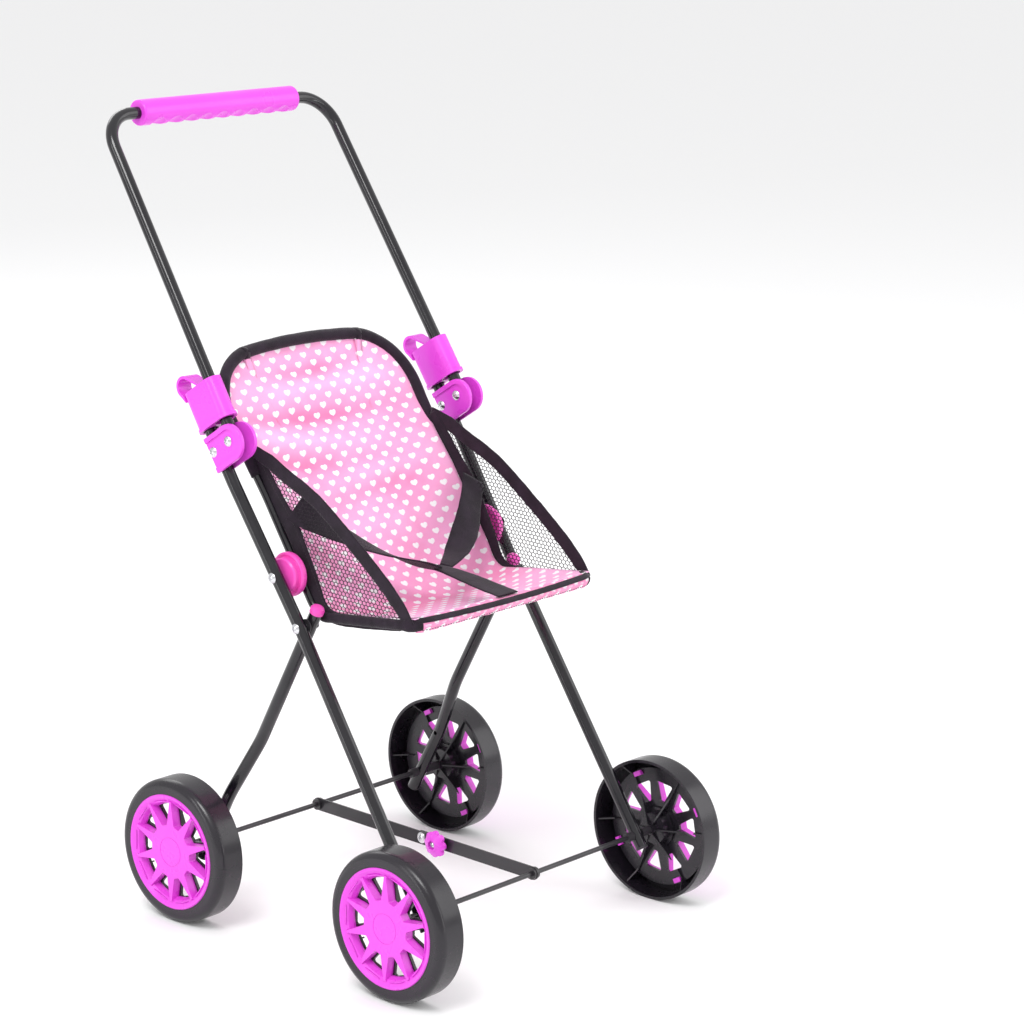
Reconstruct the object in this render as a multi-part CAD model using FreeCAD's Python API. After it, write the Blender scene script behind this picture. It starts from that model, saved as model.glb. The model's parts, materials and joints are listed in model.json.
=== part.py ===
"""Doll stroller: folding tube frame, four wheels, sling seat and a fold-down push handle.

Millimetres, +Z up, the stroller faces -Y, and the origin is on the floor under the middle of the
whole object.  The right side (-X) is modelled and the left side is its mirror image.
"FRONT LEG" lengths are measured from the front axle up along the leg, and "forward" is square to it.
"""
import math
import os
import FreeCAD
import Part
from FreeCAD import Vector

# ---------------------------------------------------------------- driving dimensions
WHEEL_R = 55.0                # wheels
WHEEL_WIDTH = 22.4
WHEEL_INNER_X = 133.3
WHEELBASE = 222.8
WHEEL_WALL = 2.2
WHEEL_EDGE_R = 6.0
CAP_R = 44.0                  # hubcap
CAP_OPENINGS = 10
WHEEL_RIBS = 6
WHEEL_TURNS = {"right": 18.0, "left": -7.0}   # degrees, how each side's wheels stand
LEAN = 56.1                   # degrees from the floor, front legs and handle
LEG_OD = 9.6                  # leg tubes
LEG_WALL = 0.8
LEG_X_AXLE = 119.0
LEG_X_CROSS = 116.2
LEG_X_TOP = 120.3
CROSS_LENGTH = 223.4          # front axle to cross pivot
HINGE_LENGTH = 365.8          # front axle to hinge level
LEG_TOP_OVER_HINGE = 19.0
FRONT_LEG_TAIL = 10.0
REAR_LEG_TAIL = 16.0
REAR_LEG_HEAD = 13.5
REAR_LEG_SPREAD_X = 114.8     # where the rear legs reach the axle
REAR_BEND_FROM = 112.0        # rear leg's outward bend, down from the cross pivot
REAR_BEND_TO = 164.0
LEG_BEND_R = 60.0             # slight bends in the legs
REAR_LEG_BEND_R = 70.0
LEG_STRAIGHT_TOP = 26.0       # front leg runs straight this far under the hinge
DRAIN_ABOVE_AXLE = 42.0
CROSS_WASHER = 1.0
AXLE_R = 1.9
HANDLE_OD = 9.3               # push handle
HANDLE_WALL = 0.8
HANDLE_OFFSET = 19.0
HANDLE_LENGTH = 265.0
HANDLE_TOP_X = 114.1
HANDLE_BEND_R = 27.0
HANDLE_TAIL = 6.0
GRIP_R = 9.8
GRIP_HALF = 79.5
GRIP_WAVES = 10
GRIP_CUT_R = 9.3
GRIP_CUT_DEPTH = 2.7
GRIP_END_ROUND = 1.6
FINGER_TURN = 25.0            # degrees, finger waves turned from straight down to the front
SEAT_OD = 6.5                 # seat frame
SEAT_WALL = 0.7
SEAT_X = 95.5
HOOP_FLARE = 5.5                # the hoop is this much wider at the top, at each side
HOOP_TOP_X = SEAT_X + HOOP_FLARE
HOOP_HEIGHT = 220.0
HOOP_CROWN = 12.0
HOOP_CORNER_R = 48.0
HOOP_BEND_FROM = 100.0          # where the hoop starts to widen, above the cross pivot
SEAT_DEPTH = 97.0
SEAT_RISE = 7.0               # degrees, seat base up towards the front
SEAT_CORNER = 4.7             # length above the cross pivot where the base leaves the leg line
SEAT_BEND_R = 20.0
RECLINE_LENGTH = 40.6         # cross pivot to recline pivot
DISC_R = 16.5
FABRIC = 2.5                  # soft goods
WEBBING = 1.2
BINDING_R = 4.6
HEM_R = 4.7
STRAP_WIDTH = 19.0
SIDE_TOP = 128.0              # side panels' upper end, above the cross pivot
PIN_R = 1.6                   # screws and pins
HEAD_R = 3.9
HEAD_H = 1.9
SLEEVE_BASE = 17.0            # lock sleeve, along the handle from the hinge
SLEEVE_LENGTH = 31.5
SLEEVE_HALF = 7.6
EAR_GAP = 10.0                # hinge plates
EAR_PLATE = 1.5
EAR_RIM = 1.6
EAR_ROUND = 1.1
STRIP_HEIGHT = 10.0           # link between the axles
STRIP_T = 1.2
STRIP_GAP = 0.6
KNOB_R = 10.3
KNOB_SETBACK = 17.0
EYE_HALF = 2.6
RIVET_R = 2.0
# clearances
RUN = 0.06                    # radial, turning on a pin or axle
HOLE = 0.1                    # radial, screw or axle held in a tube
SLIP = 0.35                   # radial, sleeve on the handle
APART = 0.35                  # soft parts and plates that move past each other

# ---------------------------------------------------------------- places worked out from them
COS, SIN = math.cos(math.radians(LEAN)), math.sin(math.radians(LEAN))
handle_y = HINGE_LENGTH * COS - HANDLE_OFFSET * SIN + HANDLE_LENGTH * COS
FRONT_Y = -(handle_y + GRIP_R - WHEEL_R) / 2
REAR_Y = FRONT_Y + WHEELBASE
REAR_LEG_X = LEG_X_CROSS - LEG_OD - CROSS_WASHER - 2 * HOLE
FLOOR_TO_AXLE = WHEEL_R


def on_leg(length, forward=0.0, x=0.0):
    """Point beside the front leg line of the right side."""
    return Vector(x, FRONT_Y + length * COS - forward * SIN, FLOOR_TO_AXLE + length * SIN + forward * COS)


CROSS = on_leg(CROSS_LENGTH)
HINGE = on_leg(HINGE_LENGTH, HANDLE_OFFSET)
FIXING = on_leg(HINGE_LENGTH)
RECLINE = on_leg(CROSS_LENGTH + RECLINE_LENGTH)
REAR_AXLE = Vector(0, REAR_Y, FLOOR_TO_AXLE)
FRONT_AXLE = Vector(0, FRONT_Y, FLOOR_TO_AXLE)
UP_LEG = Vector(0, COS, SIN)
FORWARD = Vector(0, -SIN, COS)
OUT = Vector(-1, 0, 0)
rear_down = (REAR_AXLE - CROSS).normalize()
REAR_LEG_LENGTH = (REAR_AXLE - CROSS).Length
STRIP_HALF = WHEELBASE / 2


# ---------------------------------------------------------------- shape helpers
def frame(origin, ex, ey, ez):
    """Placement that puts local x, y, z along the three given directions."""
    return FreeCAD.Placement(FreeCAD.Matrix(ex.x, ey.x, ez.x, origin.x,
                                            ex.y, ey.y, ez.y, origin.y,
                                            ex.z, ey.z, ez.z, origin.z,
                                            0, 0, 0, 1))


def put(shape, place):
    moved = shape.copy()
    moved.Placement = place.multiply(moved.Placement)
    return moved


def mirrored(shape):
    return shape.mirror(Vector(0, 0, 0), Vector(1, 0, 0))


def cylinder(radius, start, end):
    axis = end - start
    return Part.makeCylinder(radius, axis.Length, start, axis)


def across(radius, point, x_from, x_to):
    """Cylinder along X through a point of the side view."""
    low, high = min(x_from, x_to), max(x_from, x_to)
    return Part.makeCylinder(radius, high - low, Vector(low, point.y, point.z), Vector(1, 0, 0))


def bent_path(points, radii):
    """Straight runs joined by tangent arcs; radii belong to the inner points."""
    edges = []
    here = points[0]
    for before, corner, after, radius in zip(points, points[1:], points[2:], radii):
        back = (before - corner).normalize()
        ahead = (after - corner).normalize()
        half = back.getAngle(ahead) / 2
        trim = radius / math.tan(half)
        middle = corner + (back + ahead).normalize() * (radius / math.sin(half) - radius)
        start, end = corner + back * trim, corner + ahead * trim
        edges.append(Part.LineSegment(here, start).toShape())
        edges.append(Part.Arc(start, middle, end).toShape())
        here = end
    edges.append(Part.LineSegment(here, points[-1]).toShape())
    return Part.Wire(edges)


def rod(points, radii, radius):
    path = bent_path(points, radii)
    ring = Part.Circle(points[0], points[1] - points[0], radius).toShape()
    return path.makePipeShell([Part.Wire([ring])], True, False)


def tube(points, radii, outer, wall):
    """Ring face swept along the path, so that no cut has to follow its bends."""
    path = bent_path(points, radii)
    rings = [Part.Wire([Part.Circle(points[0], points[1] - points[0], radius).toShape()])
             for radius in (outer / 2, outer / 2 - wall)]
    return path.makePipe(Part.makeFace(rings, "Part::FaceMakerBullseye"))


def polygon(points):
    return Part.Face(Part.makePolygon([Vector(*p, 0) for p in points] + [Vector(*points[0], 0)]))


def prism(points, low, high):
    """Flat outline in local x, y, thickened along local z."""
    face = polygon(points)
    face.translate(Vector(0, 0, low))
    return face.extrude(Vector(0, 0, high - low))


def disc(radius, x, y, low, high):
    return Part.makeCylinder(radius, high - low, Vector(x, y, low))


def capsule(x_from, x_to, radius, low, high):
    """Slab with two round ends, lying along local x."""
    body = Part.makeBox(x_to - x_from, 2 * radius, high - low, Vector(x_from, -radius, low))
    return body.fuse([disc(radius, x_from, 0, low, high), disc(radius, x_to, 0, low, high)]).removeSplitter()


def turned(profile):
    """Outline of (radius, height) pairs turned round the local z axis."""
    wire = Part.makePolygon([Vector(r, 0, t) for r, t in profile + profile[:1]])
    return Part.Face(wire).revolve(Vector(0, 0, 0), Vector(0, 0, 1), 360)


def pan_head(radius, height):
    """Domed screw head with a cross recess; its seat is local z = 0."""
    ball_r = (radius ** 2 + height ** 2) / (2 * height)
    ball = Part.makeSphere(ball_r, Vector(0, 0, height - ball_r))
    head = disc(radius, 0, 0, 0, height).common(ball)
    slot, depth = radius * 0.95, height * 0.5
    for size in ((slot, 0.7), (0.7, slot)):
        head = head.cut(Part.makeBox(size[0], size[1], depth, Vector(-size[0] / 2, -size[1] / 2, height - depth)))
    return head


def facing(point, x, outwards=True):
    """Local z along X at a point of the side view, on the right side."""
    ez = OUT if outwards else Vector(1, 0, 0)
    ex = Vector(0, 1, 0)
    return frame(Vector(x, point.y, point.z), ex, ez.cross(ex), ez)


NODES = {}


def keep(name, shape):
    NODES[name] = shape


def keep_pair(name, right):
    keep(name + "_right", right)
    keep(name + "_left", mirrored(right))


def keep_both(name, solids):
    keep(name, Part.makeCompound(solids + [mirrored(s) for s in solids]))


# ---------------------------------------------------------------- wheels
def wheel_drum():
    """Black wheel with its open back at local z = 0 and the hubcap recess at the outer face."""
    ring = CAP_R + 0.3                       # recess for the hubcap
    step = ring + 1.8
    web_in, web_out = WHEEL_WIDTH - 9.7, WHEEL_WIDTH - 7.5
    floor = WHEEL_WIDTH - 2.0
    inner = WHEEL_R - WHEEL_WALL
    body = turned([(AXLE_R + RUN, web_in), (step, web_in), (step, floor), (inner, floor), (inner, 0),
                   (WHEEL_R, 0), (WHEEL_R, WHEEL_WIDTH), (ring, WHEEL_WIDTH), (ring, web_out),
                   (AXLE_R + RUN, web_out)])
    rim_edge = [e for e in body.Edges if abs(e.BoundBox.XLength - 2 * WHEEL_R) < 0.01
                and abs(e.BoundBox.ZMin - WHEEL_WIDTH) < 0.01 and e.BoundBox.ZLength < 0.01]
    body = body.makeFillet(WHEEL_EDGE_R, rim_edge)
    boss = turned([(AXLE_R + RUN, 0.5), (4.2, 0.5), (4.6, 4.2), (12.0, 5.0), (12.8, web_in - 2.0),
                   (15.5, web_in - 2.0), (15.5, web_in + 0.2), (AXLE_R + RUN, web_in + 0.2)])
    body = body.fuse(boss)
    fin = [(AXLE_R + 1.0, 0.9), (12.5, 4.6), (28, 9.6), (ring - 1, web_in - 1.3), (inner + 0.4, 3.0),
           (inner + 0.4, floor + 0.2), (step - 0.3, floor + 0.2), (step - 0.3, web_in + 0.2),
           (AXLE_R + 1.0, web_in + 0.2)]
    for i in range(WHEEL_RIBS):
        rib = prism(fin, -0.6, 0.6)
        rib.rotate(Vector(0, 0, 0), Vector(1, 0, 0), 90)
        rib.rotate(Vector(0, 0, 0), Vector(0, 0, 1), 12 + 360 / WHEEL_RIBS * i)
        body = body.fuse(rib)
    for i in range(CAP_OPENINGS):
        body = body.cut(opening(36.4, 20.5, 13.2, 5.5, web_in - 3.2, web_out + 1, i))
    for i in range(4):
        body = body.cut(clip_box(CAP_R - 2.7, CAP_R + 0.05, 8.0, web_in - 1, web_out + 1, i))
    bore = disc(AXLE_R + RUN, 0, 0, -1, WHEEL_WIDTH)
    return body.cut(bore).removeSplitter()


def opening(r_out, r_in, half_out, half_in, low, high, index):
    """Rounded wedge between two spokes."""
    points = []
    for radius, angle in ((r_in, -half_in), (r_out, -half_out), (r_out, half_out), (r_in, half_in)):
        points.append((radius * math.cos(math.radians(angle)), radius * math.sin(math.radians(angle))))
    wedge = prism(points, low, high)
    corners = [e for e in wedge.Edges if e.BoundBox.ZLength > (high - low) * 0.9]
    wedge = wedge.makeFillet(1.5, corners)
    wedge.rotate(Vector(0, 0, 0), Vector(0, 0, 1), 360 / CAP_OPENINGS * (index + 0.5))
    return wedge


def clip_box(r_low, r_high, width, low, high, index):
    box = Part.makeBox(r_high - r_low, width, high - low, Vector(r_low, -width / 2, low))
    box.rotate(Vector(0, 0, 0), Vector(0, 0, 1), 36 + 90 * index)
    return box


def hubcap():
    """Star spoked cap; its local z is the wheel's."""
    seat = WHEEL_WIDTH - 7.5 + 0.02
    face = WHEEL_WIDTH - 0.4
    proud = WHEEL_WIDTH + 0.9
    rim = turned([(CAP_R, seat), (CAP_R, proud - 0.7), (CAP_R - 0.8, proud), (CAP_R - 2.0, proud - 0.3),
                  (CAP_R - 6.4, proud - 3.2), (CAP_R - 8.0, proud - 6.4), (CAP_R - 8.0, seat)])
    star = disc(CAP_R - 5.0, 0, 0, seat, face)
    for i in range(CAP_OPENINGS):
        star = star.cut(opening(CAP_R - 4.0, 20.5, 17.0, 7.5, seat - 1, face + 1, i))
    pocket = disc(12.5, 0, 0, seat - 1, face - 2.2)
    groove = disc(11.3, 0, 0, face - 0.25, face + 1).cut(disc(10.7, 0, 0, face - 1, face + 2))
    cap = rim.fuse(star).cut(pocket).cut(groove)
    tab_in = WHEEL_WIDTH - 9.7
    for i in range(4):
        tab = clip_box(CAP_R - 2.4, CAP_R - 0.6, 7.0, tab_in - 2.4, seat + 1, i)
        hook = clip_box(CAP_R - 2.4, CAP_R + 1.2, 7.0, tab_in - 2.4, tab_in - 0.1, i)
        cap = cap.fuse(tab).fuse(hook)
    return cap.removeSplitter()


drum, cap = wheel_drum(), hubcap()
for end, axle in (("front", FRONT_AXLE), ("rear", REAR_AXLE)):
    place = facing(axle, -WHEEL_INNER_X)
    for side, turn in WHEEL_TURNS.items():
        spin = FreeCAD.Placement(Vector(0, 0, 0), FreeCAD.Rotation(Vector(0, 0, 1), turn))
        for name, shape in (("wheel", drum), ("hubcap", cap)):
            placed = put(put(shape, spin), place)
            keep(f"{name}_{end}_{side}", placed if side == "right" else mirrored(placed))

# ---------------------------------------------------------------- axles
hub_start = WHEEL_INNER_X + 0.5
nut_seat = WHEEL_INNER_X + WHEEL_WIDTH - 7.5 + 0.15
axle_half = nut_seat + 2.6


def axle_set(end, axle, leg_x):
    keep(end + "_axle", across(AXLE_R, axle, -axle_half, axle_half))
    gap = leg_x + LEG_OD / 2 + HOLE
    spacer = across(3.3, axle, -gap, -(hub_start - 0.15)).cut(across(AXLE_R + HOLE / 2, axle, -gap - 30, 0))
    inside = leg_x - LEG_OD / 2 - HOLE
    collar = across(3.5, axle, -inside, -(inside - 7)).cut(across(AXLE_R + HOLE / 2, axle, -inside - 9, 0))
    keep_both(end + "_wheel_spacers", [spacer])
    keep_both(end + "_axle_collars", [collar])
    nut = turned([(AXLE_R, 0), (5.2, 0), (5.2, 0.5), (3.2, 0.9), (2.9, 2.0), (AXLE_R, 2.0)])
    keep_both(end + "_push_nuts", [put(nut, facing(axle, -nut_seat))])


axle_set("front", FRONT_AXLE, LEG_X_AXLE)
axle_set("rear", REAR_AXLE, REAR_LEG_SPREAD_X)


# ---------------------------------------------------------------- legs
def end_plug(end, direction):
    """Moulded plug in the open end of a leg; direction points out of the tube."""
    flange = cylinder(LEG_OD / 2, end, end + direction * 1.6)
    return flange.fuse(cylinder(LEG_OD / 2 - LEG_WALL, end - direction * 7, end))


straight_from = HINGE_LENGTH - LEG_STRAIGHT_TOP
leg_points = [on_leg(-FRONT_LEG_TAIL, 0, -LEG_X_AXLE), on_leg(CROSS_LENGTH, 0, -LEG_X_CROSS),
              on_leg(straight_from, 0, -LEG_X_TOP), on_leg(HINGE_LENGTH + LEG_TOP_OVER_HINGE, 0, -LEG_X_TOP)]
front_leg = tube(leg_points, [LEG_BEND_R, LEG_BEND_R], LEG_OD, LEG_WALL)
for point, radius in ((FRONT_AXLE, AXLE_R), (CROSS, 2.0), (RECLINE, PIN_R), (FIXING, PIN_R)):
    front_leg = front_leg.cut(across(radius + HOLE, point, -LEG_X_TOP - 12, -LEG_X_CROSS + 12))
keep_pair("front_leg", front_leg)
down = (leg_points[0] - leg_points[1]).normalize()
keep_both("front_leg_plugs", [end_plug(leg_points[0], down)])


def on_rear_leg(length, x):
    point = CROSS + rear_down * length
    return Vector(x, point.y, point.z)


rear_points = [on_rear_leg(-REAR_LEG_HEAD, -REAR_LEG_X), on_rear_leg(REAR_BEND_FROM, -REAR_LEG_X),
               on_rear_leg(REAR_BEND_TO, -REAR_LEG_SPREAD_X),
               on_rear_leg(REAR_LEG_LENGTH + REAR_LEG_TAIL, -REAR_LEG_SPREAD_X)]
rear_leg = tube(rear_points, [REAR_LEG_BEND_R, REAR_LEG_BEND_R], LEG_OD, LEG_WALL)
rear_leg = rear_leg.cut(across(AXLE_R + HOLE, REAR_AXLE, -REAR_LEG_SPREAD_X - 9, -REAR_LEG_SPREAD_X + 9))
rear_leg = rear_leg.cut(across(2.0 + RUN, CROSS, -REAR_LEG_X - 9, -REAR_LEG_X + 9))
drain = on_rear_leg(REAR_LEG_LENGTH - DRAIN_ABOVE_AXLE, 0)
rear_leg = rear_leg.cut(across(1.7, drain, -REAR_LEG_SPREAD_X, -REAR_LEG_SPREAD_X + 12))
keep_pair("rear_leg", rear_leg)
keep_both("rear_leg_plugs", [end_plug(rear_points[-1], rear_down)])
cap_r = LEG_OD / 2 + 0.6
dome = turned([(0, 0), (cap_r, 0), (cap_r, 1.4), (cap_r * 0.8, 3.0), (cap_r * 0.45, 4.0), (0, 4.3)])
skirt = disc(cap_r, 0, 0, -1.6, 0).cut(disc(LEG_OD / 2, 0, 0, -2.6, 0))
top_place = frame(rear_points[0], Vector(-1, 0, 0), rear_down.cross(Vector(1, 0, 0)), rear_down * -1)
keep_both("rear_leg_caps", [put(dome.fuse(skirt).removeSplitter(), top_place)])

# cross pivot: rivet fixed in the front leg, rear leg turns on it
leg_out = LEG_X_CROSS + LEG_OD / 2
rivet_in = REAR_LEG_X - LEG_OD / 2 - HOLE
rivet = across(2.0, CROSS, -leg_out, -rivet_in)
rivet = rivet.fuse(put(pan_head(HEAD_R, HEAD_H), facing(CROSS, -leg_out)))
rivet = rivet.fuse(across(3.2, CROSS, -rivet_in, -(rivet_in - 0.6)))
keep_both("cross_pivot_rivets", [rivet.removeSplitter()])
washer_x = REAR_LEG_X + LEG_OD / 2 + HOLE
washer = across(5.5, CROSS, -washer_x, -(washer_x + CROSS_WASHER))
keep_both("cross_pivot_washers", [washer.cut(across(2.0 + HOLE / 2, CROSS, -130, -90))])

# ---------------------------------------------------------------- fold hinge at the handle foot
hinge_place = frame(Vector(-LEG_X_TOP, FIXING.y, FIXING.z), FORWARD, UP_LEG, OUT)
EAR_TOP, EAR_LOW, EAR_BACK = 12.0, -15.4, -3.4
ear_r = (EAR_TOP - EAR_LOW) / 2
ear_mid = (EAR_TOP + EAR_LOW) / 2
ear_front = HANDLE_OFFSET + 1.4


def ear_outline(inset, low, high):
    """D shape: straight at the back, round at the front."""
    radius = ear_r - inset
    slab = Part.makeBox(ear_front - EAR_BACK, 2 * radius, high - low, Vector(EAR_BACK, ear_mid - radius, low))
    return slab.fuse(disc(radius, ear_front, ear_mid, low, high)).removeSplitter()


def hinge_plate():
    inner = EAR_GAP / 2
    face = inner + EAR_PLATE
    plate = ear_outline(0, inner, face + EAR_RIM)
    top_edges = [e for e in plate.Edges if e.BoundBox.ZMin > face + EAR_RIM - 0.01]
    plate = plate.makeFillet(EAR_ROUND, top_edges).cut(ear_outline(3.8, face, face + EAR_RIM + 1))
    plate = plate.cut(disc(4.4, EAR_BACK - 3.4, 0, 0, face + 9))
    plate = plate.fuse(disc(HEAD_R + 0.5, HANDLE_OFFSET, 0, inner, face + 0.4))
    for x in (0, HANDLE_OFFSET):
        plate = plate.cut(disc(PIN_R + HOLE / 2, x, 0, 0, face + 9))
    return plate.removeSplitter()


outer_ear = hinge_plate()
keep_pair("hinge_plate_outer", put(outer_ear, hinge_place))
inward = frame(Vector(-LEG_X_TOP, FIXING.y, FIXING.z), FORWARD, UP_LEG * -1, OUT * -1)
flipped = outer_ear.mirror(Vector(0, 0, 0), Vector(0, 1, 0))
keep_pair("hinge_plate_inner", put(flipped, inward))
ear_face = EAR_GAP / 2 + EAR_PLATE
for name, x, seat in (("hinge_pivot_screws", HANDLE_OFFSET, ear_face + 0.4), ("hinge_fixing_screws", 0, ear_face)):
    head = put(pan_head(HEAD_R, HEAD_H), FreeCAD.Placement(Vector(x, 0, seat), FreeCAD.Rotation()))
    screw = head.fuse(disc(PIN_R, x, 0, -seat, seat)).removeSplitter()
    nut = put(pan_head(HEAD_R, HEAD_H), frame(Vector(x, 0, -seat), Vector(1, 0, 0), Vector(0, -1, 0),
                                              Vector(0, 0, -1)))
    keep_both(name, [put(screw, hinge_place)])
    keep_both(name.replace("screws", "nuts"), [put(nut, hinge_place)])

# ---------------------------------------------------------------- handle and grip
foot = Vector(-LEG_X_TOP, HINGE.y, HINGE.z)
corner = on_leg(HINGE_LENGTH + HANDLE_LENGTH, HANDLE_OFFSET, -HANDLE_TOP_X)
rise = (corner - foot).normalize()
handle_points = [foot - rise * HANDLE_TAIL, corner]
handle_points += [Vector(-p.x, p.y, p.z) for p in reversed(handle_points)]
handle = tube(handle_points, [HANDLE_BEND_R] * 2, HANDLE_OD, HANDLE_WALL)
handle = handle.cut(across(PIN_R + RUN, HINGE, -LEG_X_TOP - 9, LEG_X_TOP + 9))
keep("handle_tube", handle)

bar = Vector(0, corner.y, corner.z)
grip = across(GRIP_R, bar, -GRIP_HALF, GRIP_HALF)
grip = grip.makeFillet(GRIP_END_ROUND, [e for e in grip.Edges if e.BoundBox.XLength < 0.01])
finger_side = Vector(0, -math.sin(math.radians(FINGER_TURN)), -math.cos(math.radians(FINGER_TURN)))
finger_axis = Vector(1, 0, 0).cross(finger_side)
pitch = 2 * GRIP_HALF / GRIP_WAVES
for i in range(GRIP_WAVES - 1):
    valley = bar + finger_side * (GRIP_R + GRIP_CUT_R - GRIP_CUT_DEPTH)
    valley.x = (i + 1) * pitch - GRIP_HALF
    grip = grip.cut(Part.makeCylinder(GRIP_CUT_R, 4 * GRIP_R, valley - finger_axis * 2 * GRIP_R, finger_axis))
grip = grip.cut(across(HANDLE_OD / 2 + 0.02, bar, -GRIP_HALF - 1, GRIP_HALF + 1))
keep("handle_grip", grip)

# ---------------------------------------------------------------- lock sleeves
sleeve_place = frame(foot, FORWARD, rise, FORWARD.cross(rise))


def lock_sleeve():
    """Collar over handle and leg top; local x forward, y along the handle, z outwards."""
    base, top = SLEEVE_BASE, SLEEVE_BASE + SLEEVE_LENGTH
    back = -HANDLE_OFFSET
    mouth_r = LEG_OD / 2 + 0.85
    body_parts = [(0.0, base + 2.5, top), (0.9, base, base + 2.5)]
    body = None
    for flare, low, high in body_parts:
        slab = capsule(back - 0.6, 1.0, SLEEVE_HALF + flare, low, high)
        body = slab if body is None else body.fuse(slab)
    leg_bore = capsule(back - 0.8, back + 0.6, mouth_r, base - 1, base + 18)
    front_mouth = capsule(-3.4, 0.4, HANDLE_OD / 2 + 1.4, base - 1, base + 7)
    handle_bore = disc(HANDLE_OD / 2 + SLIP, 0, 0, base - 1, top + 1)
    body = body.cut(leg_bore).cut(front_mouth).cut(handle_bore)
    turn = FreeCAD.Placement(Vector(0, 0, 0), FreeCAD.Rotation(Vector(1, 0, 0), -90))
    body = put(body, turn)                       # local z becomes along the handle
    loop_x, loop_y, loop_r, strap, half = back - 3.0, top + 5.2, 8.2, 2.0, 6.4

    def teardrop(radius, inset, low, high):
        front = (back + 13.0 - inset, top - 1.0 + inset * 0.4)
        rear = (back - 7.4 + inset, top - 5.5)
        angle_front, angle_rear = math.radians(52), math.radians(188)
        tip_f = (loop_x + radius * math.cos(angle_front), loop_y + radius * math.sin(angle_front))
        tip_r = (loop_x + radius * math.cos(angle_rear), loop_y + radius * math.sin(angle_rear))
        wedge = prism([front, tip_f, tip_r, rear], low, high)
        return wedge.fuse(disc(radius, loop_x, loop_y, low, high)).removeSplitter()

    loop = teardrop(loop_r, 0, -half, half).cut(teardrop(loop_r - strap, strap + 0.6, -half - 1, half + 1))
    solid_body = prism([(back - 7.0, base + 19), (back - 7.0, top), (-4.5, top), (-4.5, base + 19)], -half, half)
    loop = loop.cut(solid_body)
    return body.fuse(loop).removeSplitter()


sleeve = lock_sleeve()
keep_pair("lock_sleeve", put(sleeve, sleeve_place))

# ---------------------------------------------------------------- seat frame
seat_out = SEAT_X + SEAT_OD / 2
split = 20.0                                      # joint between the two hoops, above the cross pivot


def on_hoop(height, x):
    return on_leg(CROSS_LENGTH + height, 0, x)


half_hoop = [on_hoop(split, -SEAT_X), on_hoop(HOOP_BEND_FROM, -SEAT_X), on_hoop(HOOP_HEIGHT - HOOP_CROWN, -HOOP_TOP_X)]
hoop_points = half_hoop + [on_hoop(HOOP_HEIGHT + 0.5, 0)]
hoop_points += [Vector(-p.x, p.y, p.z) for p in reversed(half_hoop)]
hoop_radii = [150, HOOP_CORNER_R, 500, HOOP_CORNER_R, 150]
back_hoop = tube(hoop_points, hoop_radii, SEAT_OD, SEAT_WALL)
back_hoop = back_hoop.cut(across(PIN_R + RUN, RECLINE, -SEAT_X - 9, SEAT_X + 9))
keep("back_hoop", back_hoop)

seat_corner = on_hoop(SEAT_CORNER, -SEAT_X)
rise_angle = math.radians(SEAT_RISE)
base_dir = Vector(0, -math.cos(rise_angle), math.sin(rise_angle))
base_up = Vector(0, math.sin(rise_angle), math.cos(rise_angle))
front_corner = seat_corner + base_dir * SEAT_DEPTH
half_seat = [on_hoop(split, -SEAT_X), seat_corner, front_corner]
seat_points = half_seat + [Vector(-p.x, p.y, p.z) for p in reversed(half_seat)]
seat_radii = [SEAT_BEND_R, 14, 14, SEAT_BEND_R]
seat_hoop = tube(seat_points, seat_radii, SEAT_OD, SEAT_WALL)
spigot_r = SEAT_OD / 2 - SEAT_WALL
for side in (-1, 1):
    joint_low, joint_high = on_hoop(split - 4, side * SEAT_X), on_hoop(split + 12, side * SEAT_X)
    seat_hoop = seat_hoop.fuse(cylinder(spigot_r, joint_low, joint_high))
keep("seat_hoop", seat_hoop.removeSplitter())

# recline discs: stepped spacers between leg and seat tube, on one screw


def leg_x(above_cross):
    """How far out the front leg's middle is, above the cross pivot."""
    return LEG_X_CROSS + (LEG_X_TOP - LEG_X_CROSS) * above_cross / (straight_from - CROSS_LENGTH)


disc_leg_x = leg_x(RECLINE_LENGTH - DISC_R) - LEG_OD / 2 - HOLE
disc_low = seat_out + RUN
disc_h = disc_leg_x - disc_low
flange_low, flange_high = disc_h * 0.28, disc_h * 0.66
boss_r = DISC_R - 3.4
hub = turned([(PIN_R + HOLE, 0), (8.5, 0), (9.5, 1.0), (9.5, flange_low), (DISC_R - 1.6, flange_low),
              (DISC_R - 0.4, flange_low + 0.5), (DISC_R, flange_low + 1.6), (DISC_R, flange_high - 1.4),
              (DISC_R - 0.5, flange_high - 0.4), (DISC_R - 1.5, flange_high), (boss_r + 0.3, flange_high - 0.6),
              (boss_r, flange_high), (boss_r, disc_h - 1.2), (boss_r - 1.2, disc_h), (PIN_R + HOLE, disc_h)])
keep_pair("recline_disc", put(hub, facing(RECLINE, -disc_low)))
screw_seat = leg_x(RECLINE_LENGTH) + LEG_OD / 2 + 2 * HOLE
recline_screw = across(PIN_R, RECLINE, -screw_seat, -(SEAT_X - SEAT_OD / 2 - 0.2))
recline_screw = recline_screw.fuse(put(pan_head(HEAD_R, HEAD_H), facing(RECLINE, -screw_seat)))
recline_screw = recline_screw.fuse(across(3.0, RECLINE, -(SEAT_X - SEAT_OD / 2 - 0.2), -(SEAT_X - SEAT_OD / 2 - 2)))
keep_both("recline_screws", [recline_screw.removeSplitter()])


# ---------------------------------------------------------------- soft goods
def band_round(points, radii, outer, inner):
    return tube(points, radii, 2 * outer, outer - inner)


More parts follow.
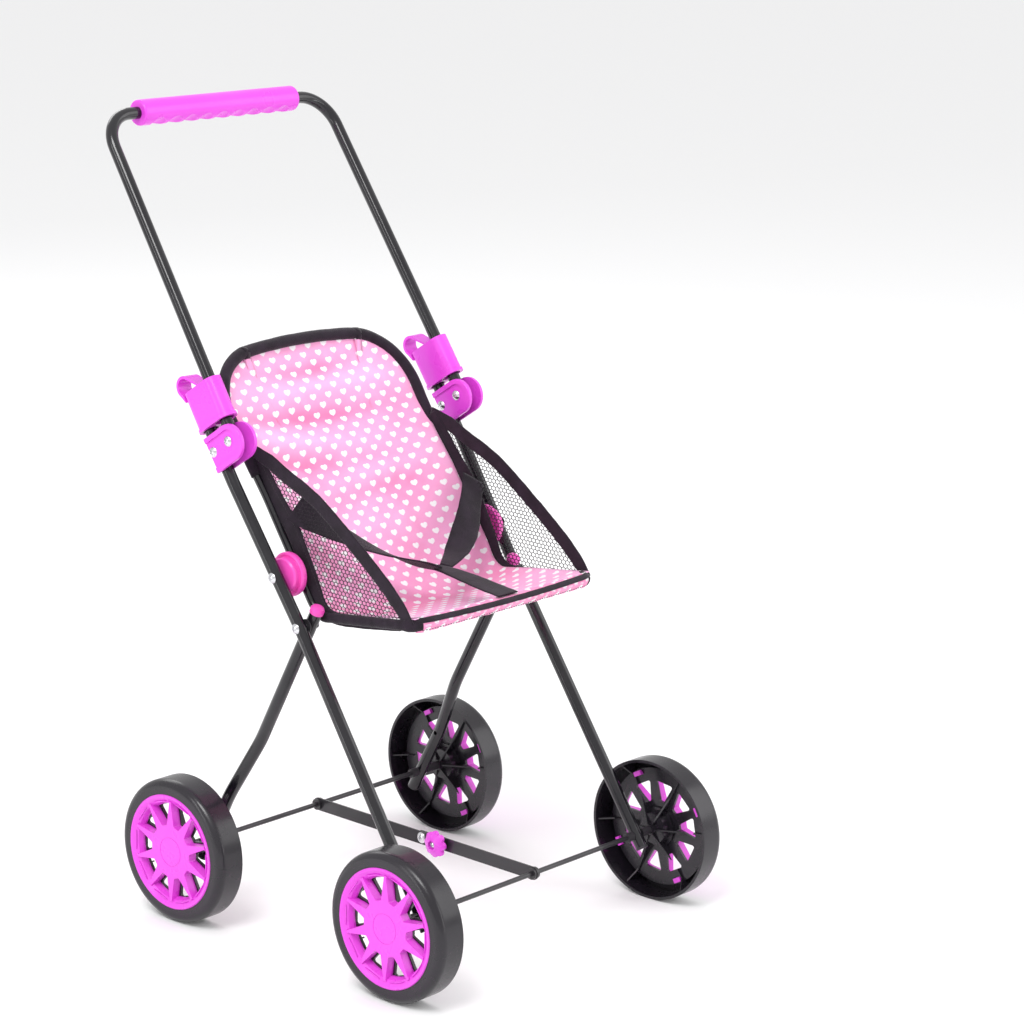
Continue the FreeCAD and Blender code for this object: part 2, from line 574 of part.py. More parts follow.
bind_from = RECLINE_LENGTH + DISC_R + 4
bind_half = [on_hoop(bind_from, -SEAT_X)] + half_hoop[1:]
bind_points = bind_half + [hoop_points[3]] + [Vector(-p.x, p.y, p.z) for p in reversed(bind_half)]
keep("back_binding", band_round(bind_points, hoop_radii, BINDING_R, SEAT_OD / 2 + 0.02))

hem_half = SEAT_X - 16
front_mid = Vector(0, front_corner.y, front_corner.z)
hem = across(HEM_R, front_mid, -hem_half, hem_half).cut(across(SEAT_OD / 2 + 0.02, front_mid, -hem_half - 1,
                                                              hem_half + 1))
keep("front_hem", hem)

# back panel: flat slab inside the hoop, in the plane of the leg line; local x across, y up, z back
panel_place = frame(on_leg(CROSS_LENGTH), Vector(1, 0, 0), UP_LEG, Vector(1, 0, 0).cross(UP_LEG))
panel_low = SEAT_CORNER + 9
low_x, top_x = SEAT_X - BINDING_R, HOOP_TOP_X - BINDING_R
panel_r = HOOP_CORNER_R - BINDING_R
panel_top = HOOP_HEIGHT - HOOP_CROWN - BINDING_R - 0.2
slab = prism([(-low_x, panel_low), (low_x, panel_low), (low_x, HOOP_BEND_FROM), (top_x, panel_top - panel_r),
              (top_x - panel_r * 0.28, panel_top - panel_r * 0.30), (top_x - panel_r, panel_top),
              (panel_r - top_x, panel_top), (panel_r * 0.28 - top_x, panel_top - panel_r * 0.30),
              (-top_x, panel_top - panel_r), (-low_x, HOOP_BEND_FROM)], -FABRIC / 2, FABRIC / 2)
screw_room = [across(5.0, RECLINE, side * (SEAT_X - 8.5), side * (SEAT_X + 24.5)) for side in (-1, 1)]
back_panel = put(slab, panel_place).cut(screw_room)
back_panel = back_panel.cut([rod(bind_points, hoop_radii, BINDING_R + 0.02), rod(hoop_points, hoop_radii,
                                                                                 SEAT_OD / 2 + 0.02)])
keep("back_panel", back_panel)

# seat panel: flat slab between the base tubes
seat_place = frame(Vector(0, seat_corner.y, seat_corner.z), Vector(1, 0, 0), base_dir, base_up * -1)
seat_in = SEAT_X - SEAT_OD / 2 - 0.1
slab = prism([(-seat_in, 12), (seat_in, 12), (seat_in, SEAT_DEPTH - 14), (seat_in - 12, SEAT_DEPTH - HEM_R),
              (12 - seat_in, SEAT_DEPTH - HEM_R), (-seat_in, SEAT_DEPTH - 14)], -FABRIC / 2, FABRIC / 2)
keep("seat_panel", put(slab, seat_place))

# side panels: mesh triangle between back tube, base tube and a diagonal binding
side_x = SEAT_X - WEBBING / 2


def side_point(point):
    return (point.y, point.z)


tri_top = on_leg(CROSS_LENGTH + SIDE_TOP, SEAT_OD / 2 + 2.2)
tri_back = on_leg(CROSS_LENGTH + SEAT_CORNER + 22, SEAT_OD / 2 + 2.2)
tri_low = seat_corner + base_dir * 20 + base_up * (SEAT_OD / 2 + 0.2)
tri_front = seat_corner + base_dir * (SEAT_DEPTH - 16) + base_up * (SEAT_OD / 2 + 0.2)
diagonal = (tri_front - tri_top).normalize()
side_place = frame(Vector(-side_x - WEBBING, 0, 0), Vector(0, 1, 0), Vector(0, 0, 1), Vector(1, 0, 0))
mesh_side = prism([side_point(p) for p in (tri_top, tri_back, tri_low, tri_front)], 0, WEBBING)
band_in = Vector(0, -diagonal.z, diagonal.y) * 9.0
band = [tri_top, tri_front, tri_front - band_in, tri_top - band_in]
band_solid = prism([side_point(p) for p in band], 0, WEBBING)
band_solid = band_solid.cut(rod(hoop_points, hoop_radii, BINDING_R + 0.02))
band_solid = band_solid.cut(rod(seat_points, seat_radii, SEAT_OD / 2 + 0.1))
keep_pair("side_mesh", put(mesh_side.cut(band_solid), side_place))
keep_pair("side_binding", put(band_solid, side_place))

# harness: two waist straps to a loop, and a crotch strap to the front hem
loop_at = Vector(0, front_mid.y + 50, front_mid.z + 13)


def strap(points, width_dir, width, thick):
    """Flat webbing through a few points, as joined straight runs of one width."""
    runs = None
    for start, end in zip(points, points[1:]):
        along = (end - start).normalize()
        wide = (width_dir - along * along.dot(width_dir)).normalize()
        up = wide.cross(along)
        length = (end - start).Length
        box = Part.makeBox(width, length, thick, Vector(-width / 2, 0, -thick / 2))
        piece = put(box, frame(start, wide, along, up))
        runs = piece if runs is None else runs.fuse(piece)
    return runs


crotch = strap([front_mid + Vector(0, 6, HEM_R + 0.4), loop_at], Vector(1, 0, 0), STRAP_WIDTH, WEBBING)
keep("crotch_strap", crotch)
waist_end = on_leg(CROSS_LENGTH + 76, SEAT_OD / 2 + 7, -SEAT_X + 7)
waist_mid = Vector(-48, loop_at.y + 26, loop_at.z + 16)
waist = strap([loop_at + Vector(-STRAP_WIDTH / 2 - 0.5, 0, 1), waist_mid, waist_end], Vector(0, 0.6, 0.8),
              STRAP_WIDTH, WEBBING)
keep_pair("waist_strap", waist)

# ---------------------------------------------------------------- folding link between the axles
NEAR = -(STRIP_GAP / 2 + STRIP_T)                # rear strip lies on the right of the middle plane


def strip(axle, direction, past_knee, x_low, x_high):
    """Flat bar from an axle past the knee, with a rolled eye on the axle and a round far end."""
    eye_r = STRIP_HEIGHT / 2
    length = STRIP_HALF + past_knee
    end = Vector(0, axle.y + length * direction, axle.z)
    low = Vector(x_low, min(axle.y, end.y), axle.z - eye_r)
    bar = Part.makeBox(x_high - x_low, length, STRIP_HEIGHT, low)
    bar = bar.fuse([across(eye_r, axle, x_low, x_high), across(eye_r, end, x_low, x_high)])
    middle = (x_low + x_high) / 2
    bar = bar.fuse(across(eye_r - 0.6, axle, middle - EYE_HALF, middle + EYE_HALF))
    return bar.cut([across(AXLE_R + RUN, axle, -9, 9), across(RIVET_R, knee, -9, 9)]).removeSplitter()


knee = Vector(0, REAR_Y - STRIP_HALF, FLOOR_TO_AXLE)
knob_at = knee - Vector(0, KNOB_SETBACK, 0)
gap_low, gap_high = -STRIP_GAP / 2, STRIP_GAP / 2
FAR = gap_high + STRIP_T
keep("link_strip_rear", strip(REAR_AXLE, -1, KNOB_SETBACK + 3, NEAR, gap_low).cut(across(PIN_R, knob_at, -9, 9)))
keep("link_strip_front", strip(FRONT_AXLE, 1, 1.5, gap_high, FAR))
rivet = across(RIVET_R - 0.02, knee, NEAR, gap_low).fuse(put(pan_head(4.3, 1.8), facing(knee, NEAR)))
keep("link_rivet", rivet.removeSplitter())
tail = across(RIVET_R - 0.02, knee, gap_high, FAR).fuse(across(3.6, knee, FAR, FAR + 0.9))
keep("link_rivet_tail", tail.removeSplitter())


def lobed_knob():
    """Flower shaped knob with a domed face and a countersunk middle; back face at local z = 0."""
    height, lobes = 6.5, 8
    lobe_r = KNOB_R * 0.28
    body = disc(KNOB_R - 1.9, 0, 0, 0, height)
    for i in range(lobes):
        angle = 2 * math.pi * i / lobes
        at = Vector(math.cos(angle), math.sin(angle), 0) * (KNOB_R - lobe_r)
        body = body.fuse(disc(lobe_r, at.x, at.y, 0, height))
    ball = Part.makeSphere(14.0, Vector(0, 0, height - 14.0))
    body = body.common(ball.fuse(disc(KNOB_R + 1, 0, 0, 0, 2.4)))
    well = disc(3.3, 0, 0, height - 2.6, height + 1)
    return body.cut(well).cut(disc(PIN_R + RUN, 0, 0, -1, height)).removeSplitter(), height - 2.6


knob, well_floor = lobed_knob()
knob_back = NEAR - APART - 0.8
keep("link_knob", put(knob, facing(knob_at, knob_back)))
screw_head_x = knob_back - well_floor - 0.1
knob_screw = across(PIN_R, knob_at, screw_head_x, gap_low)
knob_screw = knob_screw.fuse(put(pan_head(2.9, 1.6), facing(knob_at, screw_head_x)))
knob_screw = knob_screw.fuse(across(3.0, knob_at, knob_back + 0.1, NEAR))
keep("link_knob_screw", knob_screw.removeSplitter())

# ---------------------------------------------------------------- write the files
os.makedirs("parts", exist_ok=True)
for name, shape in NODES.items():
    shape.exportStep("parts/" + name + ".step")
    print(f"{name:24s} solids {len(shape.Solids)} valid {shape.isValid()} volume {shape.Volume / 1000:8.3f} cm3")
whole = Part.makeCompound(list(NODES.values())).BoundBox
print("nodes", len(NODES), "box", [round(v, 2) for v in (whole.XMin, whole.XMax, whole.YMin, whole.YMax,
                                                       whole.ZMin, whole.ZMax)])
for name, point in (("cross", CROSS), ("hinge", HINGE), ("recline", RECLINE), ("front axle", FRONT_AXLE),
                    ("rear axle", REAR_AXLE), ("knee", knee), ("knob", knob_at)):
    print(name, [round(v, 3) for v in point])
print("handle direction", [round(v, 5) for v in rise])
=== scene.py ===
"""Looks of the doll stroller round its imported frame: sling seat, side nets, webbing and finishes.

Metres, +Z up, the stroller faces -Y.  The soft pieces are laid out in the seat's own plan: "along" runs up
the back from the cross pivot and "out" is square to it, towards the child's feet; on the base "reach" runs
from the back corner to the front bar and "lift" stands above it.
"""
import json
import math
import bmesh
import bpy
import numpy as np
from mathutils import Matrix, Vector


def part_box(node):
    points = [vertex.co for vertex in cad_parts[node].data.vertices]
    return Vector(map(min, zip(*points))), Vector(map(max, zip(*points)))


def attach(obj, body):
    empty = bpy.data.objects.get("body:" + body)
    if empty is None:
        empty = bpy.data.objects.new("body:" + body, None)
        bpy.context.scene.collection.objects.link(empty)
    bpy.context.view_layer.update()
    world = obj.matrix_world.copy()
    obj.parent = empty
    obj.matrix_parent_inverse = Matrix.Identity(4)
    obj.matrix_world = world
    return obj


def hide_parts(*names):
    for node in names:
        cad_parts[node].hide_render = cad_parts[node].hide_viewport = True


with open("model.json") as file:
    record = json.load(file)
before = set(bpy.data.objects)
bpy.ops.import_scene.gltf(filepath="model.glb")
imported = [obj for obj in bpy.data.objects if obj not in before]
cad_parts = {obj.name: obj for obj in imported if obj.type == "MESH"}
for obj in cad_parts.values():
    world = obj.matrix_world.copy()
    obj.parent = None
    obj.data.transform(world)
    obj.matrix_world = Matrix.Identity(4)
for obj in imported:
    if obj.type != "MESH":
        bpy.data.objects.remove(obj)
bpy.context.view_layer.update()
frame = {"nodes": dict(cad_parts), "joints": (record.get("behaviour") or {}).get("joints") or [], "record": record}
NODES = frame["nodes"]
JOINTS = {joint["name"]: joint for joint in frame["joints"]}
MM = 0.001

# ---------------------------------------------------------------- places, from the frame
TUBE_R = 3.25 * MM                     # seat tubes
CROSS = np.array(JOINTS["leg_fold"]["pos_m"], float)
RECLINE = np.array(JOINTS["seat_recline"]["pos_m"], float)
ACROSS = np.array((1.0, 0.0, 0.0))
ALONG = (RECLINE - CROSS) / np.linalg.norm(RECLINE - CROSS)
OUT = np.array((0.0, -ALONG[2], ALONG[1]))
HOOP_HIGH = np.array(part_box("back_hoop")[1])
BASE_LOW, BASE_HIGH = (np.array(corner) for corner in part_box("seat_hoop"))
SEAT_X = BASE_HIGH[0] - TUBE_R         # middle of the side tubes
HOOP_X = HOOP_HIGH[0] - TUBE_R         # widest place of the back hoop
CROWN = (HOOP_HIGH[2] - TUBE_R - CROSS[2]) / ALONG[2]
RISE = math.radians(7.0)               # seat base, up towards the front
REACH = np.array((0.0, -math.cos(RISE), math.sin(RISE)))
LIFT = np.array((0.0, math.sin(RISE), math.cos(RISE)))
CORNER_ALONG = 4.7 * MM                # where the base leaves the back's line
CORNER = CROSS + ALONG * CORNER_ALONG
FRONT = (CORNER[1] - BASE_LOW[1] - TUBE_R) / math.cos(RISE)
BASE_BEND = 14 * MM                    # front corners of the base tube
HOOP_BEND = 48 * MM                    # upper corners of the back hoop
CROWN_BEND = 500 * MM                  # slight bend in the middle of the hoop's top
CROWN_POINT = CROWN + 3.8 * MM         # where the two straight halves of the top would meet
SHOULDER = CROWN - 8.7 * MM            # where they would meet the side tubes
WIDEN_FROM = 100 * MM                  # along, where the hoop's side tubes start to widen

# ---------------------------------------------------------------- sizes of the soft goods
CLOTH_T = 0.8 * MM
TAPE_T = 1.5 * MM
SIDE_X = 95.0 * MM                     # plane of the side nets
STRAP_HALF = 10.2 * MM                 # half the width of the harness webbing
STRAP_T = 1.2 * MM
NET_CELL = 3.8 * MM                    # between cells of one row
NET_ROW = 2.8 * MM                     # between rows
THREAD_R = 0.29 * MM                   # thread of the nets
HEART_PITCH = (16.0 * MM, 13.6 * MM)   # across and along
HEART_SIZE = (2.75 * MM, 2.15 * MM)    # half width and half height
STITCH_PITCH = 2.6 * MM
STITCH_SHARE = 0.72                    # length of one stitch, as a share of the pitch
STITCH_R = 0.28 * MM
ARCH_R = 4.15 * MM                     # binding round the back hoop
ARCH_BULGE = 0.28                      # it is this much thicker towards the cloth
ARCH_FROM = 118 * MM                   # along, where the binding starts
SLEEVE_R = 3.8 * MM                    # black sleeve round the base tube
SLEEVE_OVERLAP = 4 * MM                # how far the sleeve reaches into the pink hem
HEM_R = 4.3 * MM
HEM_SAG = 0.42                         # the hem hangs this much lower than it is wide
HEM_BOW = 4.2 * MM                     # how far the hem stands out in the middle of the front bar
PATCH_X = 91 * MM                      # inner end of the black corner patches


def back_point(along, out=0.0, x=0.0):
    return CROSS + ALONG * along + OUT * out + ACROSS * x


def base_point(reach, lift=0.0, x=0.0):
    return CORNER + REACH * reach + LIFT * lift + ACROSS * x


def side_point(y, z, x=0.0):
    return np.array((x, y, z))


# ---------------------------------------------------------------- node graphs
class Value:
    """A node socket with arithmetic: an expression on values adds its Math nodes."""

    def __init__(self, graph, socket):
        self.graph = graph
        self.socket = socket

    def math(self, operation, *others):
        return self.graph.node("ShaderNodeMath", {"operation": operation}, dict(enumerate((self, *others))))

    def __add__(self, other):
        return self.math("ADD", other)

    def __sub__(self, other):
        return self.math("SUBTRACT", other)

    def __mul__(self, other):
        return self.math("MULTIPLY", other)

    def __truediv__(self, other):
        return self.math("DIVIDE", other)


class Graph:
    """A node tree with one way to add a node: its type, its settings, then its sockets."""

    def __init__(self, tree):
        self.tree = tree

    def node(self, kind, settings=None, inputs=None, out=0):
        node = self.tree.nodes.new(kind)
        for name, setting in (settings or {}).items():
            if name == "stops":
                while len(node.color_ramp.elements) < len(setting):
                    node.color_ramp.elements.new(0.5)
                for element, (place, colour) in zip(node.color_ramp.elements, setting):
                    element.position = place
                    element.color = (*colour, 1.0)
            else:
                setattr(node, name, setting)
        for name, value in (inputs or {}).items():
            self.feed(node.inputs[name], value)
        return Value(self, node.outputs[out])

    def feed(self, socket, value):
        if isinstance(value, Value):
            self.tree.links.new(value.socket, socket)
        elif isinstance(value, tuple) and len(value) == 3 and socket.type == "RGBA":
            socket.default_value = (*value, 1.0)
        else:
            socket.default_value = value


class Paint(Graph):
    """A material: its constant sockets are set here, and what varies is fed in afterwards."""

    def __init__(self, name, **constants):
        self.material = bpy.data.materials.new(name)
        self.material.use_nodes = True
        super().__init__(self.material.node_tree)
        self.shader = self.tree.nodes["Principled BSDF"]
        for socket, value in constants.items():
            self.feed(self.shader.inputs[socket.replace("_", " ").title().replace("Ior", "IOR")], value)

    def give(self, socket, value):
        self.feed(self.shader.inputs[socket], value)
        return self

    def place(self, source="Object"):
        node = self.tree.nodes.new("ShaderNodeTexCoord")
        return Value(self, node.outputs[source])

    def noise(self, scale, detail=3.0, source="Object"):
        return self.node("ShaderNodeTexNoise", {}, {"Vector": self.place(source), "Scale": scale,
                                                    "Detail": detail, "Roughness": 0.55})

    def halves(self, source):
        """First two coordinates of a place, as values."""
        split = self.node("ShaderNodeSeparateXYZ", {}, {0: self.place(source)}).socket.node
        return [Value(self, split.outputs[i]) for i in range(2)]

    def patches(self, scale, detail=3.0, low=0.35, high=0.7):
        """Soft patches from 0 to 1."""
        return self.between(self.noise(scale, detail), low, high, 0.0, 1.0)

    def between(self, value, low, high, to_low, to_high):
        return self.node("ShaderNodeMapRange", {"clamp": True}, {"Value": value, 1: low, 2: high,
                                                                  3: to_low, 4: to_high})

    def blend(self, factor, first, second):
        node = self.tree.nodes.new("ShaderNodeMix")
        node.data_type = "RGBA"
        self.feed(node.inputs[0], factor)
        self.feed(node.inputs[6], first)
        self.feed(node.inputs[7], second)
        return Value(self, node.outputs[2])

    def bump(self, height, strength, distance):
        return self.give("Normal", self.node("ShaderNodeBump", {}, {"Height": height, "Strength": strength,
                                                                    "Distance": distance}))


# ---------------------------------------------------------------- finishes
def enamel(name, colour, rough):
    """Glossy paint on steel tube, with faint ripples and dust."""
    paint = Paint(name, base_color=colour, coat_roughness=0.05, specular_ior_level=0.4)
    paint.give("Roughness", paint.between(paint.noise(60.0), 0.3, 0.7, rough - 0.05, rough + 0.07))
    paint.give("Coat Weight", paint.between(paint.noise(25.0), 0.35, 0.65, 0.25, 0.5))
    return paint.bump(paint.noise(420.0, 2.0), 0.06, 0.2 * MM).material


def moulded(name, colour, deep, rough):
    """Moulded plastic: slight flow marks in colour and gloss, fine spark texture."""
    paint = Paint(name, specular_ior_level=0.5)
    paint.give("Base Color", paint.blend(paint.patches(14.0, 2.0), colour, deep))
    paint.give("Roughness", paint.between(paint.noise(45.0), 0.3, 0.7, rough - 0.05, rough + 0.08))
    return paint.bump(paint.noise(900.0, 2.0), 0.10, 0.1 * MM).material


def zinc(name):
    """Bright zinc plate, slightly mottled."""
    paint = Paint(name, metallic=1.0)
    paint.give("Base Color", paint.blend(paint.noise(700.0), (0.80, 0.80, 0.82), (0.55, 0.55, 0.58)))
    paint.give("Roughness", paint.between(paint.noise(300.0), 0.3, 0.7, 0.18, 0.36))
    return paint.bump(paint.noise(1500.0), 0.08, 0.1 * MM).material


def hearts(paint):
    """Mask of the printed hearts: two grids on the cloth's own map, the second half a cell over."""
    sides = paint.halves("UV")
    wobble = paint.noise(130.0, 2.0, "UV") - 0.5
    mask = None
    for shift in (0.0, 0.5):
        x, y = (((side / pitch + shift).math("FRACT") - 0.5) * (pitch / size)
                for side, pitch, size in zip(sides, HEART_PITCH, HEART_SIZE))
        ring = x * x + y * y - 1.0 + wobble * 0.16
        shape = ring * ring * ring - x * x * (y * y * y)
        grid = paint.between(shape, -0.03, 0.03, 1.0, 0.0)
        mask = grid if mask is None else mask.math("MAXIMUM", grid)
    return mask


# ramp of the cloth's pink: painted light on fold crests at 0, level cloth at 0.5, painted shade in the deepest
# troughs at 1
LIT_TO_SHADED_PINKS = ((0.0, (0.96, 0.52, 0.82)), (0.5, (0.94, 0.385, 0.66)), (1.0, (0.90, 0.21, 0.44)))


def printed_cloth_with_painted_shading(name):
    """Pink woven cloth with small white hearts, with painted light on the crests of its folds and painted shade in
    their troughs.
    """
    paint = Paint(name, roughness=0.78, sheen_weight=0.25, sheen_roughness=0.5, specular_ior_level=0.25)
    mottled = paint.between(paint.noise(55.0, 4.0), 0.3, 0.7, -0.09, 0.09)
    # the painted shading stored on the cloth picks the pink off the ramp, with random mottling on top
    painted_shading = paint.node("ShaderNodeAttribute", {"attribute_name": "trough"}, out=2)
    pink = paint.node("ShaderNodeValToRGB", {"stops": LIT_TO_SHADED_PINKS}, {0: painted_shading + mottled})
    paint.give("Base Color", paint.blend(hearts(paint), pink, (0.97, 0.93, 0.96)))
    weave = weave_height(paint, 0.55 * MM)
    crumple = paint.noise(150.0, 4.0)
    return paint.bump(weave * 0.3 + crumple, 0.35, 1.0 * MM).material


def weave_height(paint, pitch):
    """Over-and-under threads on the cloth's own map."""
    waves = [(side * (2 * math.pi / pitch)).math("SINE") for side in paint.halves("UV")]
    return waves[0] * waves[1] * 0.5 + 0.5


def woven_tape(name, colour, light):
    """Black webbing and binding: fine ribs, worn a little lighter in soft random patches."""
    paint = Paint(name, roughness=0.7, sheen_weight=0.16, sheen_roughness=0.4, specular_ior_level=0.22)
    paint.give("Base Color", paint.blend(paint.patches(90.0, 4.0), colour, light))
    return paint.bump(weave_height(paint, 1.1 * MM) + paint.noise(160.0) * 1.5, 0.4, 0.5 * MM).material


BLACK, DUSK = (0.012, 0.007, 0.013), (0.024, 0.014, 0.026)
FINISHES = {
    "tube_black": enamel("tube_enamel", (0.007, 0.006, 0.009), 0.16),
    "rod_black": enamel("rod_enamel", (0.020, 0.018, 0.022), 0.34),
    "wheel_black": moulded("wheel_plastic", (0.010, 0.008, 0.012), (0.016, 0.013, 0.019), 0.24),
    "black_plastic": moulded("spacer_plastic", (0.020, 0.018, 0.022), (0.028, 0.025, 0.03), 0.45),
    "magenta_plastic": moulded("magenta_plastic", (0.76, 0.075, 0.71), (0.72, 0.06, 0.67), 0.28),
    "pink_plastic": moulded("pink_plastic", (0.86, 0.085, 0.50), (0.83, 0.07, 0.46), 0.28),
    "zinc_steel": zinc("zinc_plate"),
    # pink cloth whose colour carries painted shade in folds and crease and painted light on crests and seat
    "pink_fabric": printed_cloth_with_painted_shading("heart_print_painted_shading"),
    "black_webbing": woven_tape("black_webbing", BLACK, DUSK),
    "black_mesh": woven_tape("net_thread", BLACK, BLACK),
}
STITCH_THREAD = woven_tape("stitch_thread", (0.035, 0.027, 0.037), (0.05, 0.04, 0.05))


def finish_cad():
    """Each CAD node gets the finish of its slot."""
    slots = {part["node"]: part["material_slot"] for part in frame["record"]["subparts"]}
    for name, node in NODES.items():
        if not node.material_slots:
            node.data.materials.append(None)
        for place in node.material_slots:
            place.material = FINISHES[slots[name]]


# ---------------------------------------------------------------- curves and sweeps
def rounded(points, radii, step=1.5 * MM):
    """Points along straight runs joined by tangent arcs."""
    path = [np.array(points[0], float)]
    for before, corner, after, radius in zip(points, points[1:], points[2:], radii):
        back, ahead = before - corner, after - corner
        back, ahead = back / np.linalg.norm(back), ahead / np.linalg.norm(ahead)
        half = math.acos(float(np.clip(back @ ahead, -1, 1))) / 2
        trim, centre = radius / math.tan(half), radius / math.sin(half)
        middle = (back + ahead) / np.linalg.norm(back + ahead)
        hub = corner + middle * centre
        start, end = corner + back * trim - hub, corner + ahead * trim - hub
        turn = math.pi - 2 * half
        for share in np.linspace(0, 1, max(3, int(turn * radius / step) + 2)):
            spoke = math.sin((1 - share) * turn) * start + math.sin(share * turn) * end
            path.append(hub + spoke / math.sin(turn))
    path.append(np.array(points[-1], float))
    return np.array(path)


def evenly(path, count):
    """The same line as a number of evenly spaced points."""
    path = np.array(path, float)
    lengths = np.r_[0, np.cumsum(np.linalg.norm(np.diff(path, axis=0), axis=1))]
    places = np.linspace(0, lengths[-1], count)
    return np.stack([np.interp(places, lengths, path[:, i]) for i in range(path.shape[1])], 1)


def flowing(points, count):
    """A smooth line through a few points."""
    points = np.array(points, float)
    ends = np.vstack([2 * points[0] - points[1], points, 2 * points[-1] - points[-2]])
    line = []
    for i in range(len(points) - 1):
        a, b, c, d = ends[i:i + 4]
        for t in np.linspace(0, 1, 24, endpoint=False):
            line.append(0.5 * (2 * b + (c - a) * t + (2 * a - 5 * b + 4 * c - d) * t ** 2
                               + (3 * b - a - 3 * c + d) * t ** 3))
    line.append(points[-1])
    return evenly(line, count)


def unit(vectors):
    return vectors / np.linalg.norm(vectors, axis=-1, keepdims=True)


def new_piece(name, vertices, faces, material, uv=None):
    """Mesh object at the origin with outward faces; uv holds one pair for each vertex."""
    mesh = bpy.data.meshes.new(name)
    mesh.from_pydata([tuple(v) for v in vertices], [], faces)
    if uv is not None:
        layer = mesh.uv_layers.new(name="cloth")
        index = np.zeros(len(mesh.loops), int)
        mesh.loops.foreach_get("vertex_index", index)
        layer.data.foreach_set("uv", np.array(uv, np.float32)[index].ravel())
    mesh.materials.append(material)
    piece = bpy.data.objects.new(name, mesh)
    bpy.context.scene.collection.objects.link(piece)
    mesh.polygons.foreach_set("use_smooth", [True] * len(mesh.polygons))
    return piece


def outward(piece):
    """Turns every face to the outside."""
    shape = bmesh.new()
    shape.from_mesh(piece.data)
    bmesh.ops.recalc_face_normals(shape, faces=shape.faces)
    shape.to_mesh(piece.data)
    shape.free()
    return piece


def sweep(name, path, side, section, material, ripple=0.0, seed=0):
    """Closed skin of a section, (across, up) pairs, carried along a path with its width along side."""
    path, side = np.array(path, float), np.array(side, float)
    if side.ndim == 1:
        side = np.repeat(side[None], len(path), 0)
    ahead = unit(np.gradient(path, axis=0))
    side = unit(side - ahead * np.sum(side * ahead, 1)[:, None])
    up = np.cross(side, ahead)
    section = np.array(section, float)
    if section.ndim == 2:
        section = np.repeat(section[None], len(path), 0)
    count = section.shape[1]
    wave = smooth_noise(len(path), count, seed) * ripple
    reach = 1 + wave[..., None]
    spread = section * reach
    vertices = path[:, None] + spread[..., :1] * side[:, None] + spread[..., 1:] * up[:, None]
    lengths = np.r_[0, np.cumsum(np.linalg.norm(np.diff(path, axis=0), axis=1))]
    loop = np.r_[0, np.cumsum(np.linalg.norm(np.diff(section[0], axis=0), axis=1))]
    uv = np.stack(np.broadcast_arrays(loop[None], lengths[:, None]), -1).reshape(-1, 2)
    faces = []
    for i in range(len(path) - 1):
        for j in range(count):
            k = (j + 1) % count
            faces.append((i * count + j, i * count + k, (i + 1) * count + k, (i + 1) * count + j))
    faces.append(tuple(range(count)))
    faces.append(tuple(range((len(path) - 1) * count, len(path) * count)))
    return outward(new_piece(name, vertices.reshape(-1, 3), faces, material, uv))


def smooth_noise(rows, columns, seed):
    """Soft random field, about -1 to 1, that closes on itself across the columns."""
    random = np.random.default_rng(seed)
    i, j = np.mgrid[0:rows, 0:columns]
    field = np.zeros((rows, columns))
    for waves in (2, 3, 5, 8):
        for turns in (0, 1, 2):
            size, phase = random.uniform(0.3, 1.0), random.uniform(0, 2 * math.pi)
            field += size * np.sin(2 * math.pi * (waves * i / 24 + turns * j / columns) + phase) / waves
    return field / max(1e-9, np.abs(field).max())


def once_round(count):
    """Cosine and sine of evenly spaced angles."""
    angles = [2 * math.pi * k / count for k in range(count)]
    return [(math.cos(angle), math.sin(angle)) for angle in angles]


def oval(wide, high, count=16, squareness=1.0):
    """Section outline, from a round one at squareness 1 towards a flat one with rounded edges."""
    return [(wide * math.copysign(abs(c) ** squareness, c), high * math.copysign(abs(s) ** squareness, s))
            for c, s in once_round(count)]


def fabric_piece(piece, *nodes, slot="black_webbing"):
    """A soft piece of the seat, which may take the place of plain nodes."""
    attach(piece, "seat")
    if nodes:
        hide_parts(*nodes)
    return piece


# ---------------------------------------------------------------- geometry node pieces
def grown(name, source, build, sizes, material, slot="black_webbing"):
    """Runs a geometry tree with named sizes on a source mesh and keeps the result as a plain mesh."""
    group = bpy.data.node_groups.new(name, "GeometryNodeTree")
    group.interface.new_socket("Geometry", in_out="INPUT", socket_type="NodeSocketGeometry")
    group.interface.new_socket("Geometry", in_out="OUTPUT", socket_type="NodeSocketGeometry")
    sockets = {}
    for label, value in sizes.items():
        sockets[label] = group.interface.new_socket(label, in_out="INPUT", socket_type="NodeSocketFloat")
        sockets[label].default_value = value
    graph = Graph(group)
    entry = group.nodes.new("NodeGroupInput")
    values = {label: Value(graph, entry.outputs[label]) for label in ("Geometry", *sizes)}
    shape = build(graph, values)
    shape = graph.node("GeometryNodeRealizeInstances", {}, {0: shape})
    shape = graph.node("GeometryNodeSetShadeSmooth", {}, {0: shape})
    shape = graph.node("GeometryNodeSetMaterial", {}, {0: shape, "Material": material})
    leave = group.nodes.new("NodeGroupOutput")
    graph.feed(leave.inputs[0], shape)
    modifier = source.modifiers.new(name, "NODES")
    modifier.node_group = group
    for label, value in sizes.items():
        modifier[sockets[label].identifier] = value
    bpy.context.view_layer.update()
    graph_now = bpy.context.evaluated_depsgraph_get()
    mesh = bpy.data.meshes.new_from_object(source.evaluated_get(graph_now), depsgraph=graph_now)
    bpy.data.objects.remove(source)
    piece = bpy.data.objects.new(name, mesh)
    bpy.context.scene.collection.objects.link(piece)
    return fabric_piece(piece, slot=slot)


def edge_source(mesh_name, object_name, vertices, edges):
    """Object of edges only, for a geometry tree to work on."""
    mesh = bpy.data.meshes.new(mesh_name)
    mesh.from_pydata([tuple(p) for p in vertices], edges, [])
    source = bpy.data.objects.new(object_name, mesh)
    bpy.context.scene.collection.objects.link(source)
    return source


